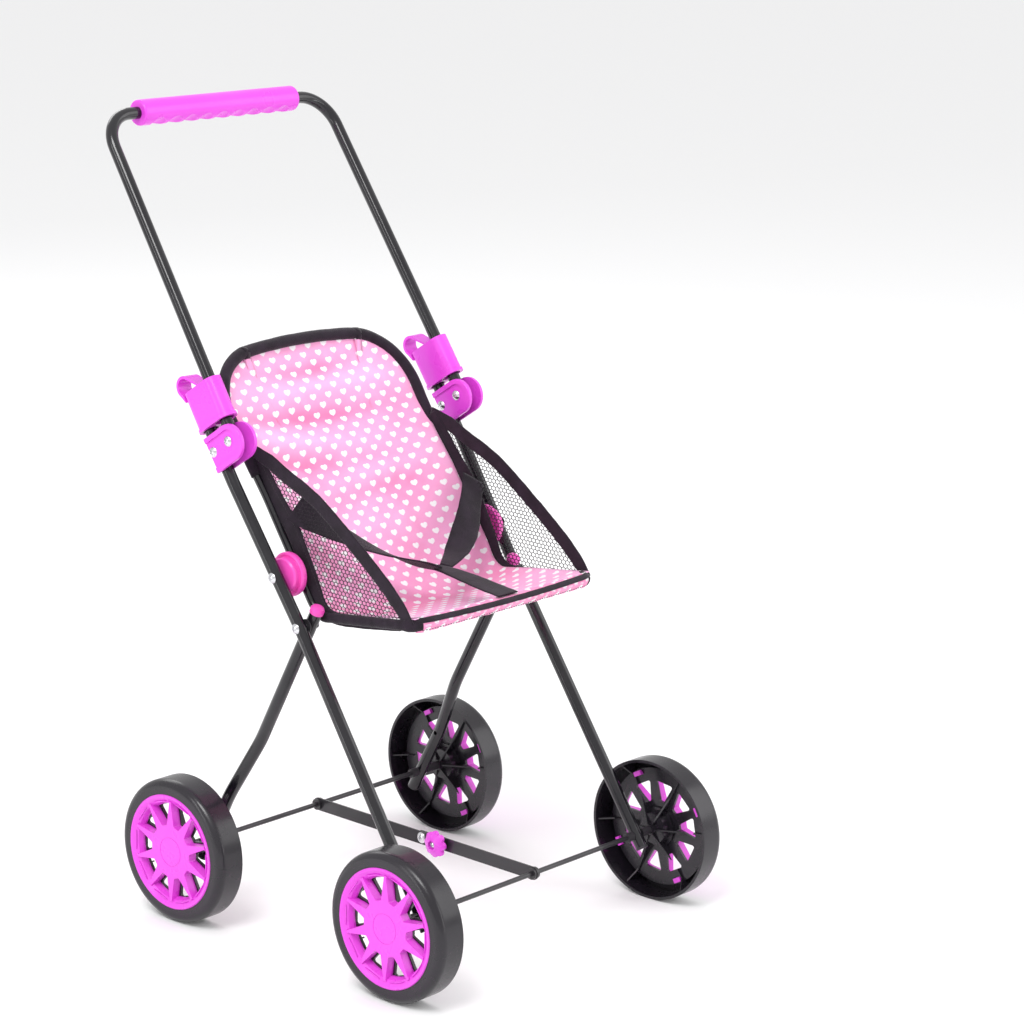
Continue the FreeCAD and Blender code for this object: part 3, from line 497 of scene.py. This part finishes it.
def line_mesh(name, lines):
    """Edges only, one chain for each line."""
    vertices, edges = [], []
    for line in lines:
        start = len(vertices)
        vertices += list(line)
        edges += [(start + i, start + i + 1) for i in range(len(line) - 1)]
    return edge_source(name, name + "_source", vertices, edges)


def threads_tree(graph, values):
    """Round thread on every edge."""
    curve = graph.node("GeometryNodeMeshToCurve", {}, {0: values["Geometry"]})
    radius = values["Thread radius"]
    ring = graph.node("GeometryNodeCurvePrimitiveCircle", {}, {"Resolution": 5, "Radius": radius})
    inputs = {"Curve": curve, "Profile Curve": ring, "Fill Caps": True}
    return graph.node("GeometryNodeCurveToMesh", {}, inputs)


def stitches_tree(graph, values):
    """One short rounded stitch at each pitch along the seam lines."""
    curve = graph.node("GeometryNodeMeshToCurve", {}, {0: values["Geometry"]})
    spacing = {0: curve, "Length": values["Pitch"]}
    points = graph.node("GeometryNodeResampleCurve", {"mode": "LENGTH"}, spacing)
    tangent = graph.node("GeometryNodeInputTangent")
    turn = graph.node("FunctionNodeAlignRotationToVector", {"axis": "Z"}, {"Vector": tangent})
    stitch = graph.node("GeometryNodeMeshUVSphere", {}, {"Segments": 6, "Rings": 5, "Radius": 1.0})
    across, length = values["Thread radius"], values["Stitch length"]
    size = graph.node("ShaderNodeCombineXYZ", {}, {0: across, 1: across, 2: length * 0.5})
    return graph.node("GeometryNodeInstanceOnPoints", {}, {"Points": points, "Instance": stitch,
                                                           "Rotation": turn, "Scale": size})


def stitch(name, lines):
    """A row of stitches along each line, as one piece."""
    source = line_mesh(name, lines)
    sizes = {"Pitch": STITCH_PITCH, "Stitch length": STITCH_PITCH * STITCH_SHARE, "Thread radius": STITCH_R}
    return grown(name, source, stitches_tree, sizes, STITCH_THREAD)


# ---------------------------------------------------------------- sling
EDGE_IN = 3.9 * MM                     # cloth edge inside the middle of the hoop tube
CORNER_START = 160 * MM                # along, where the hoop's upper corner begins
SPLIT = 122 * MM                       # along, below this the cloth's rows run straight across
SLING_BEND = 24 * MM                   # where the back turns into the seat
SETTLE_FRAMES = 24
SETTLE_SLACK = 0.006                   # share by which the cloth is longer than its frame
SETTLE_CAP = 3.5 * MM                  # the farthest that settling moves a point
HEM_PAINTED_SHADE = 0.78                       # painted shade of the hem, between level cloth and the deepest fold
COLUMNS, TOP_ROWS, LOW_ROWS = 84, 44, 92
# each fold: line of (x, along), height, width, middle in x, spread in x; all in mm
FOLDS = (
    (((-95, 194), (0, 191), (95, 199)), -2.4, 6, 5, 36),
    (((-95, 190), (-38, 178), (30, 178), (95, 181)), 2.4, 8, 10, 85),
    (((-95, 164), (-62, 160), (-15, 155), (30, 153), (95, 161)), -3.4, 7, -22, 78),
    (((-95, 154), (-53, 140), (5, 132), (95, 128)), 2.4, 7, -45, 60),
    (((-95, 140), (-70, 130), (-42, 118), (95, 112)), -2.8, 7, -62, 44),
    (((-95, 124), (20, 116), (95, 112)), -1.2, 7, 25, 30),
    (((-95, 96), (0, 102), (60, 109), (95, 116)), 1.6, 9, 35, 55),
    (((-95, 84), (0, 88), (95, 98)), -1.3, 8, 20, 60),
    (((-95, 66), (0, 62), (95, 66)), 1.0, 8, -20, 70))


def hoop_side_x(along):
    """Middle of the hoop's side tube."""
    return np.interp(along, (WIDEN_FROM, SHOULDER), (SEAT_X, HOOP_X))


def hoop_path(low):
    """Middle line of the back hoop, from a height on one side over to the same on the other."""
    side = [back_point(low, 0, hoop_side_x(low)), back_point(SHOULDER, 0, HOOP_X)]
    points = side + [back_point(CROWN_POINT)] + [p * (-1, 1, 1) for p in reversed(side)]
    return rounded(points, [HOOP_BEND, CROWN_BEND, HOOP_BEND])


def sling_profile(distance):
    """Point and normal of the taut cloth's middle line, by distance from the split row."""
    tangent = SLING_BEND * math.tan(BEND_TURN / 2)
    straight = SPLIT - CORNER_ALONG - tangent
    arc = SLING_BEND * BEND_TURN
    if distance < straight:
        return back_point(SPLIT - distance), OUT
    if distance < straight + arc:
        angle = (distance - straight) / SLING_BEND
        hub = back_point(CORNER_ALONG + tangent, SLING_BEND)
        normal = OUT * math.cos(angle) + ALONG * math.sin(angle)
        return hub - normal * SLING_BEND, normal
    return base_point(tangent + distance - straight - arc), LIFT


BEND_TURN = math.acos(float(-ALONG @ REACH))
SLING_LENGTH = SPLIT - CORNER_ALONG + FRONT + SLING_BEND * (BEND_TURN - 2 * math.tan(BEND_TURN / 2))


def fold_height(x, along):
    """Soft creases across the back."""
    height = np.zeros_like(x)
    for line, size, width, middle, spread in FOLDS:
        places = np.array(line) * MM
        crest = np.interp(x, places[:, 0], places[:, 1])
        fade = np.exp(-((x / MM - middle) / spread) ** 2)
        height += size * MM * fade * np.exp(-((along - crest) / (width * MM)) ** 2)
    return height


def sling_grid():
    """Start shape of the cloth, its flat map, and which points are sewn down."""
    u = np.linspace(-1, 1, COLUMNS)
    hoop = hoop_path(CORNER_START)
    inner = hoop.copy()
    ahead = unit(np.gradient(hoop, axis=0))
    inner += np.cross(OUT, ahead) * -EDGE_IN
    top = evenly(inner, COLUMNS)[::-1]
    low_x = hoop_side_x(SPLIT) - EDGE_IN
    rows, flats = [], []
    line = np.array([back_point(SPLIT, 0, low_x * k) for k in u])
    for share in np.linspace(0, 1, TOP_ROWS):
        row = top * (1 - share) + line * share
        edge = np.abs(u) ** 6
        lift = 0.6 * MM - 2.0 * MM * np.sin(math.pi * share / 2) * (1 - edge) + 4.0 * MM * share ** 3 * edge
        along = (row - CROSS) @ ALONG
        inside = (1 - edge) * (1 - (1 - share) ** 4)
        row = row + OUT * (lift + fold_height(row[:, 0], along) * inside)[:, None]
        rows.append(row)
        flats.append(np.stack([row[:, 0], along - SPLIT], 1))
    for distance in np.linspace(0, SLING_LENGTH, LOW_ROWS)[1:]:
        point, normal = sling_profile(distance)
        share = distance / SLING_LENGTH
        edge = np.abs(u) ** np.interp(share, (0, 0.3, 0.75, 1), (6, 5, 5, 3))
        edge_lift = np.interp(share, (0, 0.12, 0.45, 0.58, 0.72, 1), (4.6, 6.0, 6.0, 3.0, 4.2, 4.8)) * MM
        middle_lift = np.interp(share, (0, 0.3, 0.6, 0.85, 1), (-1.4, -3.0, -3.5, -0.5, 4.6)) * MM
        lift = middle_lift * (1 - edge) + edge_lift * edge
        half = np.interp(share, (0, 0.15, 0.5, 0.62, 1), (low_x / MM, 93.4, 93.6, 91.5, 94.2)) * MM
        x = u * half
        crease = fold_height(x, np.full_like(x, SPLIT - distance)) * (1 - edge)
        rows.append(point + ACROSS * x[:, None] + normal * (lift + crease)[:, None])
        flats.append(np.stack([x, np.full_like(x, -distance)], 1))
    sewn = np.zeros((len(rows), COLUMNS), bool)
    sewn[0], sewn[-1], sewn[:, 0], sewn[:, -1] = True, True, True, True
    return np.array(rows), np.array(flats), sewn


def give_painted_shading(piece, painted_shading):
    """Stores the painted shading, a value from 0 to 1, at each point, which the printed cloth's colour follows:
    higher is a deeper painted shade.
    """
    layer = piece.data.attributes.new("trough", "FLOAT", "POINT")
    layer.data.foreach_set("value", painted_shading.astype(np.float32))


def paint_fold_shading(piece, flats):
    """Painted shading at each point: painted shade in the folds' troughs and in the crease where back meets seat,
    painted light on fold crests and on the seat, with a slow wave of uneven tone. Level cloth is at 0.5.
    """
    x, along = flats[:, 0], flats[:, 1] + SPLIT
    corner = -BEND_TURN * SLING_BEND / 2 + CORNER_ALONG
    # painted shade in the troughs of the folds, painted light on their crests
    painted_shading = 0.5 - fold_height(x, along) / (6.5 * MM)
    # painted shade in the crease where the back turns into the seat
    painted_shading += 0.34 * np.exp(-((along - corner) / (17 * MM)) ** 2) * (1 - 0.5 * np.abs(x / SEAT_X))
    # painted light on the seat, which faces up
    painted_shading -= 0.22 * np.clip((corner - 22 * MM - along) / (20 * MM), 0, 1)
    painted_shading += 0.10 * np.sin(x / (21 * MM) + along / (37 * MM)) * np.sin(along / (16 * MM) - x / (60 * MM))
    give_painted_shading(piece, np.clip(painted_shading, 0, 1))


def settle(piece, sewn, frames, slack):
    """Lets the cloth fall into its own slack with its edges sewn down, and applies the result."""
    pins = piece.vertex_groups.new(name="sewn")
    pins.add([int(i) for i in np.flatnonzero(sewn)], 1.0, "REPLACE")
    cloth = piece.modifiers.new("cloth", "CLOTH")
    settings = cloth.settings
    settings.quality = 6
    settings.mass = 0.12
    settings.tension_stiffness = settings.compression_stiffness = settings.shear_stiffness = 12
    settings.bending_stiffness = 0.35
    settings.vertex_group_mass = "sewn"
    settings.shrink_min = -slack
    cloth.collision_settings.use_collision = False
    cloth.point_cache.frame_start, cloth.point_cache.frame_end = 1, frames
    for number in range(1, frames + 1):
        bpy.context.scene.frame_set(number)
    bpy.context.view_layer.update()
    now = bpy.context.evaluated_depsgraph_get()
    settled = bpy.data.meshes.new_from_object(piece.evaluated_get(now), depsgraph=now)
    places = np.zeros(len(settled.vertices) * 3)
    settled.vertices.foreach_get("co", places)
    piece.modifiers.clear()
    bpy.context.scene.frame_set(1)
    return places.reshape(-1, 3)


def sling():
    """Back and seat in one cloth, settled in its frame."""
    rows, flats, sewn = sling_grid()
    count = len(rows)
    faces = [(i * COLUMNS + j, (i + 1) * COLUMNS + j, (i + 1) * COLUMNS + j + 1, i * COLUMNS + j + 1)
             for i in range(count - 1) for j in range(COLUMNS - 1)]
    piece = new_piece("sling", rows.reshape(-1, 3), faces, FINISHES["pink_fabric"], flats.reshape(-1, 2))
    # painted shading of the folds, the crease and the seat, stored on the cloth
    paint_fold_shading(piece, flats.reshape(-1, 2))
    start = rows.reshape(-1, 3)
    moved = settle(piece, sewn.ravel(), SETTLE_FRAMES, SETTLE_SLACK) - start
    distance = np.linalg.norm(moved, axis=1)
    moved *= (np.minimum(distance, SETTLE_CAP) / np.maximum(distance, 1e-9))[:, None]
    piece.data.vertices.foreach_set("co", (start + moved).ravel())
    piece.data.update()
    solid = piece.modifiers.new("cloth_thickness", "SOLIDIFY")
    solid.thickness = CLOTH_T
    solid.offset = 0
    fabric_piece(piece, "back_panel", "seat_panel", slot="pink_fabric")
    flat = area_of(flats)


def area_of(grid):
    """Flat area of a grid of points."""
    a, b, c, d = grid[:-1, :-1], grid[1:, :-1], grid[1:, 1:], grid[:-1, 1:]
    cross = [(q - p)[..., 0] * (r - p)[..., 1] - (q - p)[..., 1] * (r - p)[..., 0]
             for p, q, r in ((a, b, c), (a, c, d))]
    return float(sum(np.abs(part).sum() for part in cross) / 2)


# ---------------------------------------------------------------- bindings and hem
def arch_binding():
    """Black binding folded over the back hoop."""
    path = evenly(hoop_path(ARCH_FROM), 150)
    outline = [(ARCH_R * (1 + ARCH_BULGE * max(0.0, c) ** 3) * c, ARCH_R * s) for c, s in once_round(20)]
    ahead = unit(np.gradient(path, axis=0))
    inwards = np.cross(OUT, ahead) * -1
    piece = sweep("arch_binding", path, inwards, outline, FINISHES["black_webbing"], 0.035, 3)
    fabric_piece(piece, "back_binding")
    seam = path + inwards * 4.3 * MM + OUT * 1.45 * MM
    stitch("arch_stitches", [seam])


def front_path(reach_from, half):
    """Along the base tube of one side, round the front corner and over to the middle."""
    points = [base_point(reach_from, 0, half), base_point(FRONT, 0, half), base_point(FRONT, 0, 0)]
    return rounded(points, [BASE_BEND])


def hem():
    """Pink hem sewn round the front bar, with the black edge tape along its top."""
    right = front_path(FRONT - 40 * MM, -SEAT_X)
    right = right[right[:, 0] > -PATCH_X]
    path = evenly(np.vstack([right, (right * (-1, 1, 1))[::-1][1:]]), 130)
    ahead = unit(np.gradient(path, axis=0))
    sideways = unit(np.cross(ahead, LIFT))
    bow = np.clip(1 - (path[:, 0] / PATCH_X) ** 2, 0, 1)
    outline = []
    for share in bow:
        ring = []
        for c, s in once_round(20):
            forward = 1.0 + HEM_BOW / HEM_R * share * max(0.0, c) ** 1.5
            drop = 1.0 + HEM_SAG * max(0.0, -s) ** 2
            ring.append((HEM_R * forward * c, HEM_R * drop * s))
        outline.append(ring)
    piece = sweep("front_hem_wrap", path, sideways, outline, FINISHES["pink_fabric"], 0.03, 5)
    # the whole hem gets an even painted shade, deeper than level cloth
    give_painted_shading(piece, np.full(len(piece.data.vertices), HEM_PAINTED_SHADE))
    fabric_piece(piece, "front_hem", slot="pink_fabric")
    inner = path + sideways * (HEM_BOW * bow)[:, None] - LIFT * (1.2 * MM * bow)[:, None]
    edge = inner + sideways * 3.1 * MM + LIFT * 3.3 * MM
    slope = unit(sideways - LIFT * 0.9)
    flat = oval(2.4 * MM, 0.7 * MM, 12, 0.5)
    tape = sweep("hem_edge_tape", edge, slope, flat, FINISHES["black_webbing"], 0.05, 6)
    fabric_piece(tape)
    seam_out = HEM_R * 0.75 + HEM_BOW * bow * 0.6
    stitch("hem_stitches", [path + sideways * seam_out[:, None] - LIFT * 4.0 * MM])


# ---------------------------------------------------------------- side panels
# middle lines of the tapes as (y, z) in mm, from the top down to the front
DIAGONAL = ((52, 357), (43, 354.5), (30, 350), (15, 343), (-17, 329), (-54, 304), (-84, 281.5), (-101, 266),
            (-110, 255))
REAR_TAPE = ((52, 356), (41, 342), (28, 326), (12, 308.5), (-1, 288), (-13, 267), (-22, 252.5), (-34, 246.6),
             (-56, 247.6), (-78, 250.2), (-100, 253.2))
# half widths in mm, as share of the length and width there
REAR_WIDTHS = ((0, 0.12, 0.3, 0.5, 0.62, 1), (6.0, 8.0, 7.4, 6.8, 5.0, 3.6))
DIAGONAL_WIDTHS = ((0, 0.1, 0.9, 1), (4.5, 5.8, 5.6, 4.6))
SLEEVE_SHARES = ((0, 0.03, 0.86, 0.90, 1), (0.9, 1, 1.05, 1.36, 1.36))


def side_line(points, x, count):
    """Smooth line in the plane of a side net."""
    return flowing([side_point(y * MM, z * MM, x) for y, z in points], count)


def side_tape(name, middle, across, widths, seed):
    """Flat tape along a line in the side's plane."""
    count = len(middle)
    half = np.interp(np.linspace(0, 1, count), *widths) * MM
    outline = np.array([oval(h, TAPE_T / 2, 14, 0.4) for h in half])
    return sweep(name, middle, across, outline, FINISHES["black_webbing"], 0.04, seed)


def side_panel(side, sign):
    """Net with its rear and lower tape, the wide diagonal binding and the sleeve round the base tube."""
    x = sign * SIDE_X
    outwards = ACROSS * sign
    rear = side_line(REAR_TAPE, x, 110)
    diagonal = side_line(DIAGONAL, x, 90)
    rear_across = np.cross(unit(np.gradient(rear, axis=0)), ACROSS)
    fabric_piece(side_tape(f"rear_tape_{side}", rear, rear_across, REAR_WIDTHS, 11))
    across = np.cross(unit(np.gradient(diagonal, axis=0)), ACROSS)
    lifted = diagonal + outwards * 0.5 * MM
    binding = side_tape(f"diagonal_binding_{side}", lifted, across, DIAGONAL_WIDTHS, 12)
    fabric_piece(binding, f"side_binding_{side}")
    net = net_lines(rear[:, 1:], diagonal[:, 1:], x)
    sizes = {"Thread radius": THREAD_R}
    piece = grown(f"side_net_{side}", net, threads_tree, sizes, FINISHES["black_mesh"], slot="black_mesh")
    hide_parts(f"side_mesh_{side}")
    seams = [diagonal + across * -4.3 * MM + outwards * 1.3 * MM,
             rear + rear_across * 4.2 * MM + outwards * 0.75 * MM]
    stitch(f"side_stitches_{side}", seams)
    path = front_path(5 * MM, sign * SEAT_X)
    path = evenly(path[np.abs(path[:, 0]) > PATCH_X - SLEEVE_OVERLAP], 80)
    ahead = unit(np.gradient(path, axis=0))
    outline = np.repeat(np.array(oval(SLEEVE_R, SLEEVE_R, 16))[None], 80, 0)
    outline *= np.interp(np.linspace(0, 1, 80), *SLEEVE_SHARES)[:, None, None]
    across = np.cross(ahead, LIFT)
    fabric_piece(sweep(f"base_sleeve_{side}", path, across, outline, FINISHES["black_webbing"], 0.03, 13))


def net_lines(rear, diagonal, x):
    """Six-sided net inside the outline of two tapes, as edges."""
    outline = np.vstack([rear, diagonal[::-1]])
    low, high = outline.min(0), outline.max(0)
    reach = np.array((NET_CELL / math.sqrt(3), NET_ROW / 1.5))    # of a cell's corners, across and up
    grain = 0.05 * MM                      # corners closer than this are one
    points, edges, index = [], set(), {}

    def vertex(place):
        key = tuple(np.round(place / grain).astype(int))
        if key not in index:
            index[key] = len(points)
            points.append(side_point(place[0], place[1], x))
        return index[key]

    rows = int((high[1] - low[1]) / NET_ROW) + 2
    columns = int((high[0] - low[0]) / NET_CELL) + 2
    for i in range(rows):
        for j in range(columns):
            centre = low + ((j + 0.5 * (i % 2)) * NET_CELL, i * NET_ROW)
            if not inside(centre, outline):
                continue
            ring = []
            for k in range(6):
                angle = math.radians(30 + 60 * k)
                ring.append(vertex(centre + reach * (math.cos(angle), math.sin(angle))))
            for a, b in zip(ring, ring[1:] + ring[:1]):
                edges.add((min(a, b), max(a, b)))
    return edge_source("net_edges", "net_source", points, sorted(edges))


def inside(point, outline):
    """Whether a point lies within a closed outline."""
    a, b = outline, np.roll(outline, -1, 0)
    crossing = (a[:, 1] > point[1]) != (b[:, 1] > point[1])
    with np.errstate(divide="ignore", invalid="ignore"):
        at = a[:, 0] + (point[1] - a[:, 1]) * (b[:, 0] - a[:, 0]) / (b[:, 1] - a[:, 1])
    return bool(np.count_nonzero(crossing & (point[0] < at)) % 2)


# ---------------------------------------------------------------- harness
# each station: place in mm, direction of the webbing's width, share of its full width that is seen flat
RIGHT_WAIST = (((-93.4, 8, 321), (0, 0.56, 0.83), 1.12), ((-83, -6, 310), (0.2, 0.6, 0.77), 1.1),
               ((-60, -21, 295), (0.5, 0.7, 0.4), 1.0), ((-40, -32, 284), (0.6, 0.75, -0.05), 0.8),
               ((-20, -42, 275.5), (0.3, 0.8, -0.4), 0.85), ((-2, -50, 269), (0.1, 0.8, -0.3), 0.5))
LEFT_WAIST = (((93.4, 5, 313), (0, 0.56, 0.83), 1.0), ((82, -4, 301), (-0.35, 0.5, 0.7), 1.05),
              ((60, -20, 286), (-0.66, 0.6, 0.25), 1.05), ((32, -36, 274), (-0.6, 0.7, 0.1), 0.9),
              ((6, -49, 269), (-0.3, 0.8, 0.2), 0.45))
CROTCH = (((0, -44, 269), (1, 0, 0), 0.5), ((0, -58, 268.5), (1, 0, 0), 0.8),
          ((0, -78, 266.5), (1, 0, 0), 1.0), ((0, -98, 264), (1, 0, 0), 1.05),
          ((0, -117, 262.0), (1, 0, 0), 1.05))


def strap(name, stations, node, seed):
    """Webbing through its stations, a little thicker where it is gathered."""
    centres = flowing([np.array(place) * MM for place, side, share in stations], 70)
    sides = flowing([np.array(side, float) for place, side, share in stations], 70)
    shares = np.interp(np.linspace(0, 1, 70), np.linspace(0, 1, len(stations)), [s[2] for s in stations])
    outline = np.array([oval(STRAP_HALF * share, STRAP_T / 2 / max(share, 0.6), 14, 0.4) for share in shares])
    piece = sweep(name, centres, sides, outline, FINISHES["black_webbing"], 0.02, seed)
    return fabric_piece(piece, node)


def harness():
    strap("waist_webbing_right", RIGHT_WAIST, "waist_strap_right", 21)
    strap("waist_webbing_left", LEFT_WAIST, "waist_strap_left", 22)
    strap("crotch_webbing", CROTCH, "crotch_strap", 23)


# ---------------------------------------------------------------- floor, light and camera
def stage():
    """Plain floor and an even white surround."""
    mesh = bpy.data.meshes.new("floor")
    half = 12.0
    corners = [(-half, -half, 0), (half, -half, 0), (half, half, 0), (-half, half, 0)]
    mesh.from_pydata(corners, [], [(0, 1, 2, 3)])
    paint = Paint("floor_paper", base_color=(0.96, 0.96, 0.965), specular_ior_level=0.1)
    paint.give("Roughness", paint.between(paint.noise(3.0), 0.3, 0.7, 0.85, 0.95))
    mesh.materials.append(paint.material)
    floor = bpy.data.objects.new("floor", mesh)
    bpy.context.scene.collection.objects.link(floor)
    world = bpy.data.worlds.new("studio")
    world.use_nodes = True
    surround = world.node_tree.nodes["Background"]
    surround.inputs["Color"].default_value = (1.0, 1.0, 1.0, 1.0)
    surround.inputs["Strength"].default_value = 0.9
    bpy.context.scene.world = world


def softbox(name, place, target, size, power):
    light = bpy.data.lights.new(name, "AREA")
    light.shape = "RECTANGLE"
    light.size, light.size_y = size
    light.energy = power
    lamp = bpy.data.objects.new(name, light)
    lamp.location = place
    lamp.rotation_mode = "QUATERNION"
    lamp.rotation_quaternion = (Vector(target) - Vector(place)).to_track_quat("-Z", "Y")
    bpy.context.scene.collection.objects.link(lamp)


def lights():
    bpy.context.scene.view_settings.view_transform = "Standard"
    middle = (0.0, 0.0, 0.3)
    softbox("key", (-1.5, -0.6, 2.3), middle, (1.0, 1.0), 30)
    softbox("fill", (1.8, -1.6, 1.2), middle, (1.6, 1.6), 12)
    softbox("back", (0.6, 2.0, 1.8), middle, (1.6, 1.0), 14)
    softbox("left_strip", (-2.3, 0.6, 0.8), middle, (0.25, 1.8), 7)
    softbox("right_strip", (0.7, -2.6, 0.9), middle, (0.25, 1.8), 7)


def camera():
    """At the front right, well above the handle, level within a degree."""
    x, y, z = -1.6175, -1.5672, 0.8524
    yaw, pitch, roll = math.radians(48.168), math.radians(13.6875), math.radians(0.954)
    ahead = Vector((math.sin(yaw) * math.cos(pitch), math.cos(yaw) * math.cos(pitch), -math.sin(pitch)))
    level = Vector((math.cos(yaw), -math.sin(yaw), 0))
    above = level.cross(ahead)
    right = level * math.cos(roll) + above * math.sin(roll)
    up = above * math.cos(roll) - level * math.sin(roll)
    lens = bpy.data.cameras.new("camera")
    lens.lens = 109.19
    lens.sensor_width = 36.0
    lens.clip_end = 30.0
    view = bpy.data.objects.new("camera", lens)
    view.matrix_world = Matrix(((right.x, up.x, -ahead.x, x), (right.y, up.y, -ahead.y, y),
                                (right.z, up.z, -ahead.z, z), (0, 0, 0, 1)))
    bpy.context.scene.collection.objects.link(view)
    bpy.context.scene.camera = view


finish_cad()
sling()
arch_binding()
hem()
side_panel("right", -1)
side_panel("left", 1)
harness()
stage()
lights()
camera()
